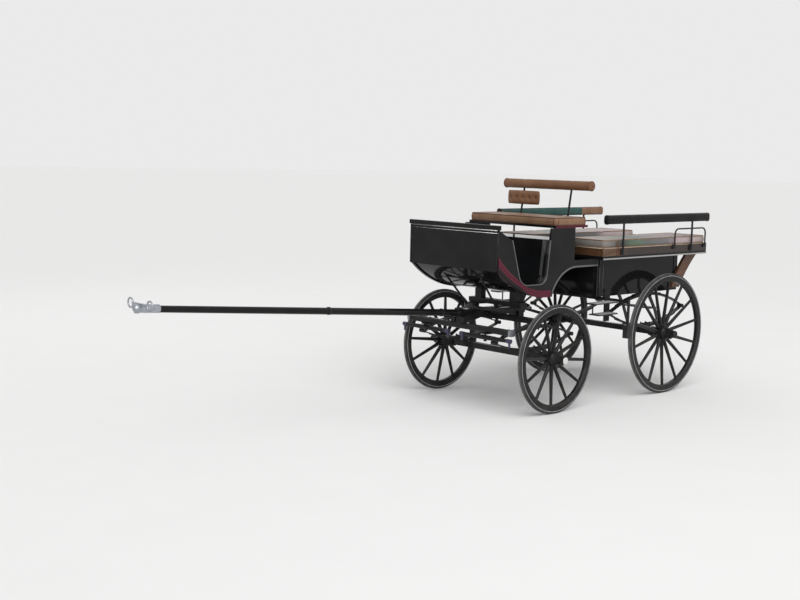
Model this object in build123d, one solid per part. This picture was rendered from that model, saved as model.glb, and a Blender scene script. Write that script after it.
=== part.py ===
from build123d import *
import math
import os

# A light open wagonette for a pair: high driver's seat, two facing side benches entered from the rear,
# elliptic springs, cut-under front and a fixed pole. Millimetres, +X forward, +Y to the left, +Z up.
# Lengths along X are measured from the middle of the wheelbase; the finished parts are moved so that
# the origin is on the ground below the middle of the whole outline, pole included.

# Wheels and axles
wheelbase = 1510
wheel_track = 1336
front_wheel_radius = 450
rear_wheel_radius = 540
front_spokes = 12
rear_spokes = 14
front_spoke_phase = -5.8
rear_spoke_phase = -92.0
tyre_depth = 28
tyre_width = 34
tyre_round = 9
channel_depth = 8
channel_lip = 3
felloe_depth = 46
wheel_dish = 40
spoke_root_radius = 17
spoke_tip_radius = 12
spoke_seat = 10
nave_radius = 62
nave_end_radius = 44
nave_inner_length = 108
nave_outer_length = 96
nave_barrel = 36
nave_band = 16
nave_band_proud = 3
cap_radius = 33
cap_length = 52
cap_round = 8
cap_nut_radius = 38
cap_nut = 12
axle_arm_radius = 22
bearing_clearance = 0.05
axle_beam = 50
axle_collar_radius = 40
axle_collar = 20
axle_collar_gap = 5
axle_end_gap = 8

# Springs
spring_width = 45
leaf_thickness = 7
leaf_lengths = (1.0, 0.78, 0.56, 0.34)
spring_eye_radius = 17
spring_eye_side = 4
spring_bolt_radius = 9
spring_bolt_head = 6
spring_saddle_length = 110
spring_saddle = 9
spring_saddle_side = 5
spring_clip_radius = 5
spring_clip_offset = 36
front_spring_half = 470
front_spring_height = 240
front_spring_inset = 75
rear_spring_half = 540
rear_spring_inset = 55

# Fore-carriage
bed_length = 80
bed_height = 40
bed_past_spring = 50
futchell_width = 45
futchell_height = 55
futchell_rear = 275
futchell_front = 480
futchell_knee = 250
futchell_drop = 95
futchell_tip = 50
futchell_tip_height = 45
sway_bar_half = 150
sway_bar = 30
turntable_radius = 260
turntable_width = 40
turntable_thickness = 12
turntable_gap = 0.5
ring_block_length = 60
kingpin_radius = 14
kingpin_tail = 30
splinter_height = 47
splinter_past_pivot = 255
splinter_chamfer = 8
splinter_ferrule = 26
splinter_ferrule_proud = 3
splinter_stay_radius = 9
splinter_stay_inset = 40
pivot_plate = 6
pivot_plate_width = 70
pivot_plate_edge = 25
swingletree_ahead = 20
swingletree_y = 345
swingletree_half = 280
swingletree_radius = 21
swingletree_end_radius = 15
swingletree_gap = 7
ferrule_length = 45
ferrule_wall = 2
trace_pin_radius = 9
trace_pin_length = 36
trace_pin_shoulder_radius = 12
trace_pin_shoulder = 3
trace_pin_inset = 16
pivot_pin_radius = 8
pivot_nut_radius = 14
pivot_nut = 8
pivot_nut_gap = 2

# Pole
pole_width = 60
pole_butt_start = 75
pole_butt_end = 470
pole_ring_gap = 2
pole_root_gap = 1
pole_splice = 120
pole_tip_height = 1037
pole_reach = 3495
pole_tip_radius = 24
pole_head_length = 150
pole_head_wall = 5
pole_head_nose = 45
crab_bar_back = 25
crab_bar_half = 95
crab_bar_radius = 9
crab_bar_sink = 4
crab_ring_radius = 32
crab_ring_wire = 6
pole_eye_radius = 10
pole_eye_boss_radius = 17
pole_eye_boss = 3

# Body widths
body_wheel_gap = 20
side_thickness = 20
board = 20
panel_gap = 0.5
soft_gap = 0.5

# Body heights, most of them above the line of the footwell's floor
body_lift = 65.5
footboard_rise = 236
footboard_lift = 10
dash_rise = 565
dash_rail_height = 38
cheek_drop = 85
cheek_foot_rise = 190
entry_rise = 105
entry_rear_rise = 190
seat_rise = 565
under_seat_gap = 95
arch_room = 270
tub_drop = 40
tub_height = 332

# Body lengths, worked back from the dash and out from the axles
dash_ahead = 540
dash_thickness = 15
dash_rail_depth = 30
dash_rail_round = 9
dash_overhang = 15
footwell_length = 595
cheek_back = 155
cheek_foot_back = 90
entry_front_back = 120
entry_length = 140
entry_rear_run = 90
riser_lean = 40
riser_rake = 10
seat_box_length = 300
arch_run = 310
arch_flat = 280
tub_overhang = 365

# Trims of the body
cut_under_board = 15
band_height = 57
band_proud = 6
arch_lip = 14
arch_lip_proud = 6
pillar_width = 55
pillar_back = 26
pillar_proud = 5
rocker_height = 34

# Rear door
door_past_aisle = 15
door_gap = 5
door_top_gap = 10
hinge_out = 9
hinge_radius = 8
hinge_pin_radius = 4
hinge_barrel = 34
hinge_strap = 150
hinge_strap_height = 26
hinge_strap_thickness = 4
hinge_strap_short = 2
hinge_ear = 10
hinge_ear_gap = 2
hinge_ear_reach = 30
hinge_rises = (85, 250)
handle_length = 90
handle_radius = 6
handle_leg_radius = 5
handle_out = 22
handle_inset = 45

# Driver's seat
driver_seat_set = 50
driver_seat_depth = 410
driver_seat_board = 20
driver_cushion_height = 76
driver_cushion_front = 4
driver_cushion_rear = 6
driver_back_set = 50
driver_back_rise = 249
driver_back_radius = 38
driver_back_iron_y = 270
driver_back_knuckle = 60
driver_back_lug = 20
iron_radius = 9
iron_seat = 20
lumbar_width = 300
lumbar_y = -270
lumbar_drop = 48
lumbar_height = 117
lumbar_thickness = 45
lumbar_ahead = 22

# Side benches
aisle_half = 200
bench_flare = 120
bench_ahead = 80
bench_overhang = 280
bench_frame_inset = 20
bench_frame_height = 30
bench_height = 68
bench_board = 20
bench_moulding_height = 12
bench_moulding_proud = 5
side_cushion_height = 82
side_cushion_inset = 10
knee_thickness = 28
knee_foot = 120
knee_foot_out = 10
knee_foot_lift = 25
knee_head = 160
knee_head_inset = 5
knee_bow = 20
roll_gap = 120
roll_height = 78
roll_thickness = 58
roll_round = 25
roll_ahead = 10
rail_iron_clear = 3
rail_iron_seat = 18
rail_iron_foot = 20
rail_foot_low = 6
rail_foot_high = 50
rail_post_front = 255
rail_post_rear = 260
grab_rail_radius = 7
grab_rail_rise = 60
grab_rail_ahead = 260
grab_rail_behind = 215
grab_rail_drop = 50

# Under the body
bolster_past_ring = 20
bolster_height = 40
bolster_block_y = 200
bolster_block_half = 35
bolster_block_length = 60
stay_radius = 9
stay_low_y = 60
stay_high_y = 170
stay_drop = 40
front_stay_y = 210
front_stay_ahead = 190
front_stay_reach = 440
step_hanger_length = 70
step_hanger_thickness = 12
step_hanger_top = 60
step_hanger_tail = 70
step_shaft_gap = 46
step_width = 110
step_drop = 50
step_rise = 98
step_upper_clear = 555
step_lower_clear = 615
step_tread = 10
step_corner = 18
step_link_radius = 6
step_link_inset = 20
step_link_out = 25
brake_block = (50, 50, 110)
brake_block_gap = 10
brake_block_lift = 5
brake_shaft_set = 15
brake_shaft_drop = 40
brake_shaft_radius = 14
brake_arm = 20
brake_arm_width = 16
brake_bracket_y = 330
brake_bracket = (44, 20, 22)
rear_step_half = 190
rear_step_drops = (460, 220)
rear_step_reach = (255, 150)
rear_step_depth = 110
rear_step_iron = 10
rear_step_strap = 38
rear_step_root = 130

# Whip socket
whip_bore_radius = 13
whip_socket_wall = 4
whip_socket_floor = 10
whip_socket_drop = 215
whip_socket_length = 150
whip_socket_set = 60
whip_socket_gap = 5
whip_bracket_half = 12
whip_bracket_inset = 30

# Places worked out from the sizes above, first across the carriage
front_axle_x = wheelbase / 2
rear_axle_x = -wheelbase / 2
rim_y = wheel_track / 2
felloe_width = tyre_width + 2 * channel_lip
nave_y = rim_y - wheel_dish
nave_inner_y = nave_y - nave_inner_length
nave_outer_y = nave_y + nave_outer_length
collar_outer_y = nave_inner_y - axle_collar_gap
beam_half = collar_outer_y - axle_collar
arm_end_y = nave_outer_y + cap_length / 2
front_spring_y = beam_half - front_spring_inset
rear_spring_y = beam_half - rear_spring_inset
bed_half_width = front_spring_y + bed_past_spring
bolster_half = turntable_radius + turntable_width / 2 + bolster_past_ring
body_half_width = nave_inner_y - body_wheel_gap
inner_half = body_half_width - side_thickness
door_half_width = aisle_half + door_past_aisle
bench_outer = body_half_width + bench_flare
post_y = bench_outer + iron_radius + rail_iron_clear
splinter_half = swingletree_y + splinter_past_pivot
futchell_y = pole_width / 2

# Heights
front_axle_top = front_wheel_radius + axle_beam / 2
rear_axle_top = rear_wheel_radius + axle_beam / 2
bed_z = front_axle_top + front_spring_height
futchell_z = bed_z + bed_height
lower_ring_z = futchell_z + futchell_height
upper_ring_z = lower_ring_z + turntable_thickness + turntable_gap
bolster_z = upper_ring_z + turntable_thickness
splinter_top = lower_ring_z - futchell_drop
splinter_z = splinter_top - splinter_height
swingletree_z = splinter_z - pivot_plate - swingletree_gap - swingletree_radius
footwell_z = bolster_z + bolster_height + body_lift
tub_floor_z = footwell_z - tub_drop
tub_top = tub_floor_z + tub_height
arch_top = 2 * front_wheel_radius + arch_room
dash_top = footwell_z + dash_rise
bench_board_z = footwell_z + seat_rise
seat_box_top = bench_board_z - under_seat_gap
driver_cushion_z = bench_board_z + driver_seat_board
driver_back_z = driver_cushion_z + driver_cushion_height + driver_back_rise
bench_z = tub_top + bench_frame_height
cushion_z = bench_z + bench_height
roll_bottom = cushion_z + side_cushion_height + roll_gap
step_upper_z = tub_floor_z - step_drop
step_lower_z = step_upper_z - step_rise
brake_shaft_z = tub_floor_z - brake_shaft_drop

# Lengths
dash_x = front_axle_x + dash_ahead
footwell_front = dash_x - footwell_length
cheek_top = (dash_x - cheek_back, dash_top - cheek_drop)
cheek_foot = (cheek_top[0] - cheek_foot_back, footwell_z + cheek_foot_rise)
entry_front = (cheek_foot[0] - entry_front_back, footwell_z + entry_rise)
entry_rear = (entry_front[0] - entry_length, entry_front[1])
entry_rear_foot = (entry_rear[0] - entry_rear_run, footwell_z + entry_rear_rise)
riser_front_x = entry_rear_foot[0] - riser_lean
riser_rear_x = riser_front_x - seat_box_length
arch_front_x = riser_front_x - board
arch_flat_x = arch_front_x - arch_run
tub_front_x = arch_flat_x - arch_flat
tub_rear_x = rear_axle_x - tub_overhang
driver_seat_front = riser_front_x - driver_seat_set
driver_seat_rear = driver_seat_front - driver_seat_depth
driver_back_x = driver_seat_rear - driver_back_set
bench_front = tub_front_x + bench_ahead
bench_rear = tub_rear_x - bench_overhang
splinter_x = front_axle_x + futchell_front - futchell_tip
pivot_x = front_axle_x + futchell_front + swingletree_ahead
pole_tip_x = front_axle_x + pole_reach
pole_root_radius = pole_width / 2 - pole_root_gap
pole_rest_z = futchell_z + pole_root_radius
shoe_x = rear_axle_x + rear_wheel_radius + brake_block_gap
brake_shaft_x = shoe_x + brake_shaft_set
sweep_radius = (footwell_length**2 + footboard_rise**2) / (2 * footboard_rise)
arch_drop = arch_top - footwell_z
arch_radius = (arch_run**2 + arch_drop**2) / (2 * arch_drop)
shift = -(pole_tip_x + bench_rear) / 2


def block(x0, x1, y0, y1, z0, z1):
    """Box between two opposite corners."""
    return Pos((x0 + x1) / 2, (y0 + y1) / 2, (z0 + z1) / 2) * Box(x1 - x0, y1 - y0, z1 - z0)


def rod(start, end, radius, end_radius=None):
    """Round bar between two points, tapered when a second radius is given."""
    start, end = Vector(*start), Vector(*end)
    length = (end - start).length
    low = (Align.CENTER, Align.CENTER, Align.MIN)
    if end_radius is None:
        bar = Cylinder(radius, length, align=low)
    else:
        bar = Cone(radius, end_radius, length, align=low)
    return Plane(origin=start, z_dir=end - start) * bar


def outline(points):
    """Closed face in X and Z from a list of corner points."""
    return make_face(Polyline(*points, close=True))


def slab(face, y0, y1):
    """Face drawn in X and Z, made solid from y0 to y1."""
    return Pos(0, y1, 0) * (Plane.XZ * extrude(face, y1 - y0))


def both_sides(solid):
    """A left-hand solid and its mirror image on the right, as two loose solids."""
    return Compound(children=[solid, mirror(solid, about=Plane.XZ)])


def on_circle(x, z, radius, degrees):
    """Point of a circle, the angle measured from straight down towards +X."""
    turn = math.radians(degrees)
    return (x + radius * math.sin(turn), z - radius * math.cos(turn))


def make_wheel(radius, spokes, phase, side):
    """Wooden wheel with its nave and cap, and its tyre, axis along local Z, outward positive."""
    rim_outer = radius - tyre_depth
    rim_inner = rim_outer - felloe_depth
    half = felloe_width / 2
    bevel = half / 3
    tread = tyre_width / 2
    lip = rim_outer + channel_depth
    rim = make_face(Polyline(
        (rim_inner + bevel, -half), (lip, -half), (lip, -tread), (rim_outer, -tread), (rim_outer, tread),
        (lip, tread), (lip, half), (rim_inner + bevel, half), (rim_inner, half - bevel),
        (rim_inner, bevel - half), close=True))
    arm = axle_arm_radius + bearing_clearance
    inner, outer = -wheel_dish - nave_inner_length, -wheel_dish + nave_outer_length
    barrel0, barrel1 = -wheel_dish - nave_barrel, -wheel_dish + nave_barrel
    cap_end = outer + cap_length
    cap_floor = outer + cap_length / 2 + axle_end_gap
    banded = nave_end_radius + nave_band_proud
    waist = (nave_end_radius + nave_radius) / 2 - nave_band_proud
    nave = make_face([
        Polyline((cap_radius - cap_round, cap_end), (0, cap_end), (0, cap_floor), (arm, cap_floor), (arm, inner),
                 (banded, inner), (banded, inner + nave_band), (nave_end_radius, inner + nave_band)),
        ThreePointArc((nave_end_radius, inner + nave_band), (waist, (inner + nave_band + barrel0) / 2),
                      (nave_radius, barrel0)),
        Line((nave_radius, barrel0), (nave_radius, barrel1)),
        ThreePointArc((nave_radius, barrel1), (waist, (outer - nave_band + barrel1) / 2),
                      (nave_end_radius, outer - nave_band)),
        Polyline((nave_end_radius, outer - nave_band), (banded, outer - nave_band), (banded, outer),
                 (cap_radius, outer), (cap_radius, cap_end - cap_round)),
        RadiusArc((cap_radius, cap_end - cap_round), (cap_radius - cap_round, cap_end), -cap_round),
    ])
    wheel = revolve(Plane.XZ * rim, Axis.Z) + revolve(Plane.XZ * nave, Axis.Z)
    wheel += Pos(0, 0, outer) * extrude(RegularPolygon(cap_nut_radius, 6) - Circle((arm + cap_radius) / 2), cap_nut)
    for number in range(spokes):
        angle = math.radians(phase + number * 360 / spokes)
        across = (-math.cos(angle), side * math.sin(angle))
        root, tip = nave_radius - spoke_seat, rim_inner + spoke_seat
        wheel += rod((across[0] * root, across[1] * root, -wheel_dish),
                     (across[0] * tip, across[1] * tip, 0), spoke_root_radius, spoke_tip_radius)
    tyre = revolve(Plane.XZ * make_face(Polyline(
        (rim_outer, -tread), (radius - tyre_round, -tread), (radius, tyre_round - tread),
        (radius, tread - tyre_round), (radius - tyre_round, tread), (rim_outer, tread), close=True)), Axis.Z)
    return wheel, tyre


def make_axle(x, height):
    """Square axle with its collars and the round arms that carry the naves."""
    half = axle_beam / 2
    axle = block(x - half, x + half, -beam_half, beam_half, height - half, height + half)
    for side in (1, -1):
        axle += rod((x, side * beam_half, height), (x, side * collar_outer_y, height), axle_collar_radius)
        axle += rod((x, side * beam_half, height), (x, side * arm_end_y, height), axle_arm_radius)
    return axle


def make_spring(x, y, bottom, height, half):
    """Full elliptic spring: two packs of leaves that meet in an eye at each end."""
    pack = len(leaf_lengths) * leaf_thickness
    sag = height / 2 - spring_saddle - pack
    radius = (half**2 + sag**2) / (2 * sag)
    reach = math.degrees(math.asin(half / radius))
    middle = bottom + height / 2
    spring = None
    for way in (1, -1):
        centre = middle + way * (radius - sag)
        for number, share in enumerate(leaf_lengths):
            inner = radius + number * leaf_thickness
            outer = inner + leaf_thickness
            angle = reach * share
            corners = [on_circle(0, 0, r, a) for r, a in (
                (inner, -angle), (inner, 0), (inner, angle), (outer, angle), (outer, 0), (outer, -angle))]
            a, b, c, d, e, f = [(x + px, centre + way * pz) for px, pz in corners]
            leaf = slab(make_face([ThreePointArc(a, b, c), Line(c, d), ThreePointArc(d, e, f), Line(f, a)]),
                        y - spring_width / 2, y + spring_width / 2)
            spring = leaf if spring is None else spring + leaf
    eye_half = spring_width / 2 + spring_eye_side
    bolt_half = eye_half + spring_bolt_head
    for end in (x - half, x + half):
        spring += rod((end, y - eye_half, middle), (end, y + eye_half, middle), spring_eye_radius)
        spring += rod((end, y - bolt_half, middle), (end, y + bolt_half, middle), spring_bolt_radius)
    saddle = spring_saddle_length / 2
    wide = spring_width / 2 + spring_saddle_side
    seats = ((bottom, bottom + spring_saddle, bottom + spring_saddle + pack),
             (bottom + height, bottom + height - spring_saddle, bottom + height - spring_saddle - pack))
    for seat, saddle_face, pack_face in seats:
        low, high = sorted((seat, saddle_face))
        spring += block(x - saddle, x + saddle, y - wide, y + wide, low, high)
        clip_end = pack_face + math.copysign(2 * spring_clip_radius, pack_face - seat)
        low, high = sorted((pack_face, clip_end))
        for clip_x in (x - spring_clip_offset, x + spring_clip_offset):
            spring += block(clip_x - spring_clip_radius, clip_x + spring_clip_radius, y - wide, y + wide, low, high)
            for clip_y in (y - wide + spring_clip_radius, y + wide - spring_clip_radius):
                spring += rod((clip_x, clip_y, seat), (clip_x, clip_y, pack_face), spring_clip_radius)
        low, high = sorted((saddle_face, pack_face))
        spring += block(x - spring_clip_offset, x + spring_clip_offset, y - spring_width / 2, y + spring_width / 2,
                        low, high)
    return spring


def make_front_side():
    """Left body side from the dash to the tub: cheek, entry, seat riser and wheel arch in one panel."""
    arch_centre_z = arch_top - arch_radius
    arch_half = math.degrees(math.asin(arch_run / arch_radius)) / 2
    arch_mid = on_circle(arch_flat_x, arch_centre_z, arch_radius, 180 - arch_half)
    sweep_angle = math.degrees(math.asin(footwell_length / sweep_radius))
    sweep_mid = on_circle(footwell_front, footwell_z + sweep_radius, sweep_radius, sweep_angle / 2)
    deck_z = tub_top - panel_gap
    seat_edge = (riser_front_x + riser_rake, seat_box_top)
    cheek_slope = (cheek_foot[0] - cheek_top[0], cheek_foot[1] - cheek_top[1])
    sides = [
        Line((dash_x, dash_top), cheek_top), Line(cheek_top, cheek_foot),
        TangentArc(cheek_foot, entry_front, tangent=cheek_slope), Line(entry_front, entry_rear),
        TangentArc(entry_rear, entry_rear_foot, tangent=(-1, 0)), Line(entry_rear_foot, seat_edge),
        Line(seat_edge, (riser_front_x, bench_board_z)),
        Line((riser_front_x, bench_board_z), (riser_rear_x, bench_board_z)),
        Line((riser_rear_x, bench_board_z), (riser_rear_x, deck_z)),
        Line((riser_rear_x, deck_z), (tub_front_x, deck_z)),
        Line((tub_front_x, deck_z), (tub_front_x, arch_top)),
        Line((tub_front_x, arch_top), (arch_flat_x, arch_top)),
        ThreePointArc((arch_flat_x, arch_top), arch_mid, (arch_front_x, footwell_z)),
        Line((arch_front_x, footwell_z), (footwell_front, footwell_z)),
        ThreePointArc((footwell_front, footwell_z), sweep_mid, (dash_x, footwell_z + footboard_rise)),
        Line((dash_x, footwell_z + footboard_rise), (dash_x, dash_top)),
    ]
    panel = slab(make_face(sides), inner_half, body_half_width)
    return panel + arch_strip(arch_lip, tub_front_x, body_half_width, body_half_width + arch_lip_proud)


def swept_strip(low, high, start_x, y0, y1):
    """Board that follows the sweep under the footwell, between two heights above its lower line."""
    low_radius, high_radius = sweep_radius - low, sweep_radius - high
    low_end = math.degrees(math.asin(footwell_length / low_radius))
    high_end = math.degrees(math.asin(footwell_length / high_radius))
    place = (footwell_front, footwell_z + sweep_radius)
    bottom = [on_circle(*place, low_radius, a) for a in (0, low_end / 2, low_end)]
    top = [on_circle(*place, high_radius, a) for a in (high_end, high_end / 2, 0)]
    face = make_face([
        Line((start_x, footwell_z + low), bottom[0]), ThreePointArc(*bottom), Line(bottom[2], top[0]),
        ThreePointArc(*top), Line(top[2], (start_x, footwell_z + high)),
        Line((start_x, footwell_z + high), (start_x, footwell_z + low))])
    return slab(face, y0, y1)


def arch_strip(thickness, start_x, y0, y1):
    """Strip of even thickness along the outside of the wheel arch."""
    centre_z = arch_top - arch_radius
    outer = arch_radius + thickness
    end = math.degrees(math.asin(arch_run / arch_radius))
    outer_end = math.degrees(math.asin(arch_run / outer))
    inner_arc = [on_circle(arch_flat_x, centre_z, arch_radius, 180 - a) for a in (0, end / 2, end)]
    outer_arc = [on_circle(arch_flat_x, centre_z, outer, 180 - a) for a in (outer_end, outer_end / 2, 0)]
    face = make_face([
        Line((start_x, arch_top), inner_arc[0]), ThreePointArc(*inner_arc), Line(inner_arc[2], outer_arc[0]),
        ThreePointArc(*outer_arc), Line(outer_arc[2], (start_x, arch_top + thickness)),
        Line((start_x, arch_top + thickness), (start_x, arch_top))])
    return slab(face, y0, y1)


def make_footboard():
    """Floor of the driver's footwell, swept up to the dash."""
    return swept_strip(footboard_lift, footboard_lift + board, riser_front_x, -inner_half, inner_half)


def make_tub_side():
    """Left side of the tub with its two pillars and the rocker along the bottom."""
    side = block(tub_rear_x, tub_front_x, inner_half, body_half_width, tub_floor_z, tub_top)
    proud = body_half_width + pillar_proud
    pillar_end = tub_front_x - pillar_back
    side += block(pillar_end - pillar_width, pillar_end, body_half_width, proud, tub_floor_z, tub_top)
    side += block(tub_rear_x, tub_rear_x + pillar_width, body_half_width, proud, tub_floor_z, tub_top)
    side += block(tub_rear_x, pillar_end, body_half_width, proud, tub_floor_z, tub_floor_z + rocker_height)
    return side


def make_hinge_pins():
    """Two door pins, each held by an ear above and below its barrel."""
    axis_x, axis_y = tub_rear_x - hinge_out, door_half_width + door_gap
    pins = None
    for height in [tub_floor_z + rise for rise in hinge_rises]:
        pin_half = hinge_barrel / 2 + hinge_ear_gap + hinge_ear
        pin = rod((axis_x, axis_y, height - pin_half), (axis_x, axis_y, height + pin_half), hinge_pin_radius)
        for end in (-1, 1):
            middle = height + end * (hinge_barrel / 2 + hinge_ear_gap + hinge_ear / 2)
            pin += block(axis_x - hinge_pin_radius, tub_rear_x, axis_y - hinge_pin_radius,
                         axis_y + hinge_ear_reach, middle - hinge_ear / 2, middle + hinge_ear / 2)
        pins = pin if pins is None else pins + pin
    return pins


def make_body():
    """Panels and boards of the body, by node name."""
    front_side = make_front_side()
    dash_bottom = footwell_z + footboard_rise
    dash_half = body_half_width + dash_overhang
    dash = block(dash_x, dash_x + dash_thickness, -body_half_width, body_half_width, dash_bottom, dash_top)
    rail = block(dash_x - (dash_rail_depth - dash_thickness) / 2, dash_x + (dash_rail_depth + dash_thickness) / 2,
                 -dash_half, dash_half, dash_top, dash_top + dash_rail_height)
    dash += fillet(rail.edges().filter_by(Axis.Y), dash_rail_round)
    box_x = arch_front_x
    cut_top = arch_top + cut_under_board
    seat_box = block(box_x, box_x + board, -inner_half, inner_half, footwell_z + footboard_lift, seat_box_top)
    seat_box += block(riser_rear_x, box_x, -inner_half, inner_half, seat_box_top - board, seat_box_top)
    seat_box += block(riser_rear_x, riser_rear_x + board, -inner_half, inner_half, cut_top, seat_box_top)
    band = swept_strip(0, band_height, arch_front_x + arch_lip, body_half_width, body_half_width + band_proud)
    rear_frame = block(tub_rear_x, tub_rear_x + board, -inner_half, inner_half, tub_floor_z, tub_top)
    rear_frame -= block(tub_rear_x, tub_rear_x + board, -door_half_width - door_gap, door_half_width + door_gap,
                        tub_floor_z + board, tub_top)
    tub_floor = block(tub_rear_x + board, tub_front_x, -inner_half, inner_half, tub_floor_z, tub_floor_z + board)
    tub_floor += block(tub_front_x, tub_front_x + board, -inner_half, inner_half, tub_floor_z, tub_top)
    return {
        "front_sides": both_sides(front_side),
        "sill_bands": both_sides(band),
        "footboard": make_footboard(),
        "dash": dash,
        "seat_box": seat_box,
        "cut_under": arch_strip(cut_under_board, tub_front_x + board, -inner_half, inner_half),
        "tub_floor": tub_floor,
        "tub_sides": both_sides(make_tub_side()),
        "rear_panels": rear_frame + make_hinge_pins(),
    }


def make_door():
    """Rear door with two strap hinges and a handle, hung on the left."""
    bottom = tub_floor_z + board + door_gap
    top = tub_top - door_top_gap
    door = block(tub_rear_x, tub_rear_x + board, -door_half_width, door_half_width, bottom, top)
    axis_x, axis_y = tub_rear_x - hinge_out, door_half_width + door_gap
    for height in [tub_floor_z + rise for rise in hinge_rises]:
        barrel = Pos(axis_x, axis_y, height) * Cylinder(hinge_radius, hinge_barrel)
        strap = block(tub_rear_x - hinge_strap_thickness, tub_rear_x, door_half_width - hinge_strap,
                      axis_y - hinge_strap_short, height - hinge_strap_height / 2, height + hinge_strap_height / 2)
        door += barrel + strap
        door -= Pos(axis_x, axis_y, height) * Cylinder(hinge_pin_radius + bearing_clearance, hinge_barrel)
    grip = tub_rear_x - handle_out
    middle = (bottom + top) / 2
    low, high = middle - handle_length / 2, middle + handle_length / 2
    handle_y = handle_inset - door_half_width
    door += rod((grip, handle_y, low), (grip, handle_y, high), handle_radius)
    for height in (low + handle_radius, high - handle_radius):
        door += rod((grip, handle_y, height), (tub_rear_x, handle_y, height), handle_leg_radius)
    return {"rear_door": door}


def make_rail_irons():
    """Posts of the left padded rail, and the low grab rail at the rear end of the bench."""
    irons = None
    for x in (bench_front - rail_post_front, bench_rear + rail_post_rear):
        post = rod((x, post_y, bench_z + rail_foot_low), (x, post_y, roll_bottom + rail_iron_seat), iron_radius)
        post += block(x - rail_iron_foot, x + rail_iron_foot, bench_outer, post_y,
                      bench_z + rail_foot_low, bench_z + rail_foot_high)
        irons = post if irons is None else irons + post
    x = bench_rear + rail_post_rear
    height = cushion_z + side_cushion_height + grab_rail_rise
    ahead, behind = x + grab_rail_ahead, x - grab_rail_behind
    foot_z = bench_z + rail_foot_high
    rail = FilletPolyline((ahead, post_y, foot_z), (ahead, post_y, height), (behind, post_y, height),
                          (behind, post_y, foot_z), radius=grab_rail_drop)
    irons += sweep(Plane(origin=rail @ 0, z_dir=rail % 0) * Circle(grab_rail_radius), path=rail)
    for end in (ahead, behind):
        irons += block(end - rail_iron_foot, end + rail_iron_foot, bench_outer, post_y,
                       foot_z - rail_iron_foot, foot_z + rail_iron_foot)
    return irons


def make_seats():
    """Driver's seat and the two side benches with their frames, irons and plain soft solids."""
    bench = block(bench_rear, bench_front, aisle_half, bench_outer, bench_z, cushion_z)
    bench -= block(bench_rear + bench_board, bench_front - bench_board, aisle_half + bench_board,
                   bench_outer - bench_board, bench_z, cushion_z - bench_board)
    frame = block(bench_rear, bench_front, aisle_half - bench_frame_inset, bench_outer, tub_top, bench_z)
    frame += block(bench_rear, bench_front, bench_outer, bench_outer + bench_moulding_proud,
                   tub_top, tub_top + bench_moulding_height)
    inset = side_cushion_inset
    cushion = block(bench_rear + inset, bench_front - inset, aisle_half, bench_outer - inset,
                    cushion_z + soft_gap, cushion_z + side_cushion_height)
    roll = block(bench_rear, bench_front + roll_ahead, bench_outer - roll_thickness / 2,
                 bench_outer + roll_thickness / 2, roll_bottom, roll_bottom + roll_height)
    roll = fillet(roll.edges().filter_by(Axis.X), roll_round)
    irons = make_rail_irons()
    roll -= irons
    knee_low, knee_high = tub_floor_z + knee_foot_lift, tub_top
    middle = (knee_low + knee_high) / 2
    rear_foot, rear_head = tub_rear_x - knee_foot_out, bench_rear + knee_head_inset
    front_foot, front_head = rear_foot + knee_foot, rear_head + knee_head
    knee = slab(make_face([
        Line((front_foot, knee_low), (rear_foot, knee_low)),
        ThreePointArc((rear_foot, knee_low), ((rear_foot + rear_head) / 2 + knee_bow, middle), (rear_head, knee_high)),
        Line((rear_head, knee_high), (front_head, knee_high)),
        ThreePointArc((front_head, knee_high), ((front_foot + front_head) / 2 + knee_bow, middle),
                      (front_foot, knee_low)),
    ]), body_half_width, body_half_width + knee_thickness)
    knee -= make_tub_side()
    driver_board = block(driver_seat_rear, driver_seat_front, -body_half_width, body_half_width,
                         bench_board_z, driver_cushion_z)
    cushion_half = body_half_width - driver_cushion_front
    driver_cushion = block(driver_seat_rear + driver_cushion_rear, driver_seat_front - driver_cushion_front,
                           -cushion_half, cushion_half, driver_cushion_z + soft_gap,
                           driver_cushion_z + driver_cushion_height)
    back_roll = rod((driver_back_x, -body_half_width, driver_back_z), (driver_back_x, body_half_width, driver_back_z),
                    driver_back_radius)
    back_irons = None
    for y in (-driver_back_iron_y, driver_back_iron_y):
        foot = (driver_seat_rear - iron_radius, y, bench_board_z)
        knuckle = (driver_seat_rear - iron_radius, y, driver_cushion_z + driver_back_knuckle)
        head = (driver_back_x, y, driver_back_z - driver_back_radius + iron_seat)
        iron = rod(foot, knuckle, iron_radius) + Pos(*knuckle) * Sphere(iron_radius) + rod(knuckle, head, iron_radius)
        iron += block(driver_seat_rear - 2 * iron_radius, driver_seat_rear, y - driver_back_lug,
                      y + driver_back_lug, bench_board_z, driver_cushion_z)
        back_irons = iron if back_irons is None else back_irons + iron
    lumbar_x = driver_back_x + lumbar_ahead
    lumbar_top = driver_back_z - lumbar_drop
    lumbar = block(lumbar_x, lumbar_x + lumbar_thickness, lumbar_y - lumbar_width / 2, lumbar_y + lumbar_width / 2,
                   lumbar_top - lumbar_height, lumbar_top)
    lumbar -= back_irons
    back_roll -= back_irons
    return {
        "benches": both_sides(bench), "bench_frames": both_sides(frame), "side_cushions": both_sides(cushion),
        "side_rolls": both_sides(roll), "rail_irons": both_sides(irons), "rear_knees": both_sides(knee),
        "driver_bench": driver_board + back_irons, "driver_cushion": driver_cushion,
        "backrest_roll": back_roll, "lumbar_pad": lumbar,
    }


def ring(radius, width, bottom, thickness, x):
    """Flat ring about a vertical axis at x."""
    flat = Cylinder(radius + width / 2, thickness) - Cylinder(radius - width / 2, thickness)
    return Pos(x, 0, bottom + thickness / 2) * flat


def swept_height(x):
    """Height of the lower line under the footwell at a place along the body."""
    return footwell_z + sweep_radius - math.sqrt(sweep_radius**2 - (x - footwell_front) ** 2)


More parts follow.
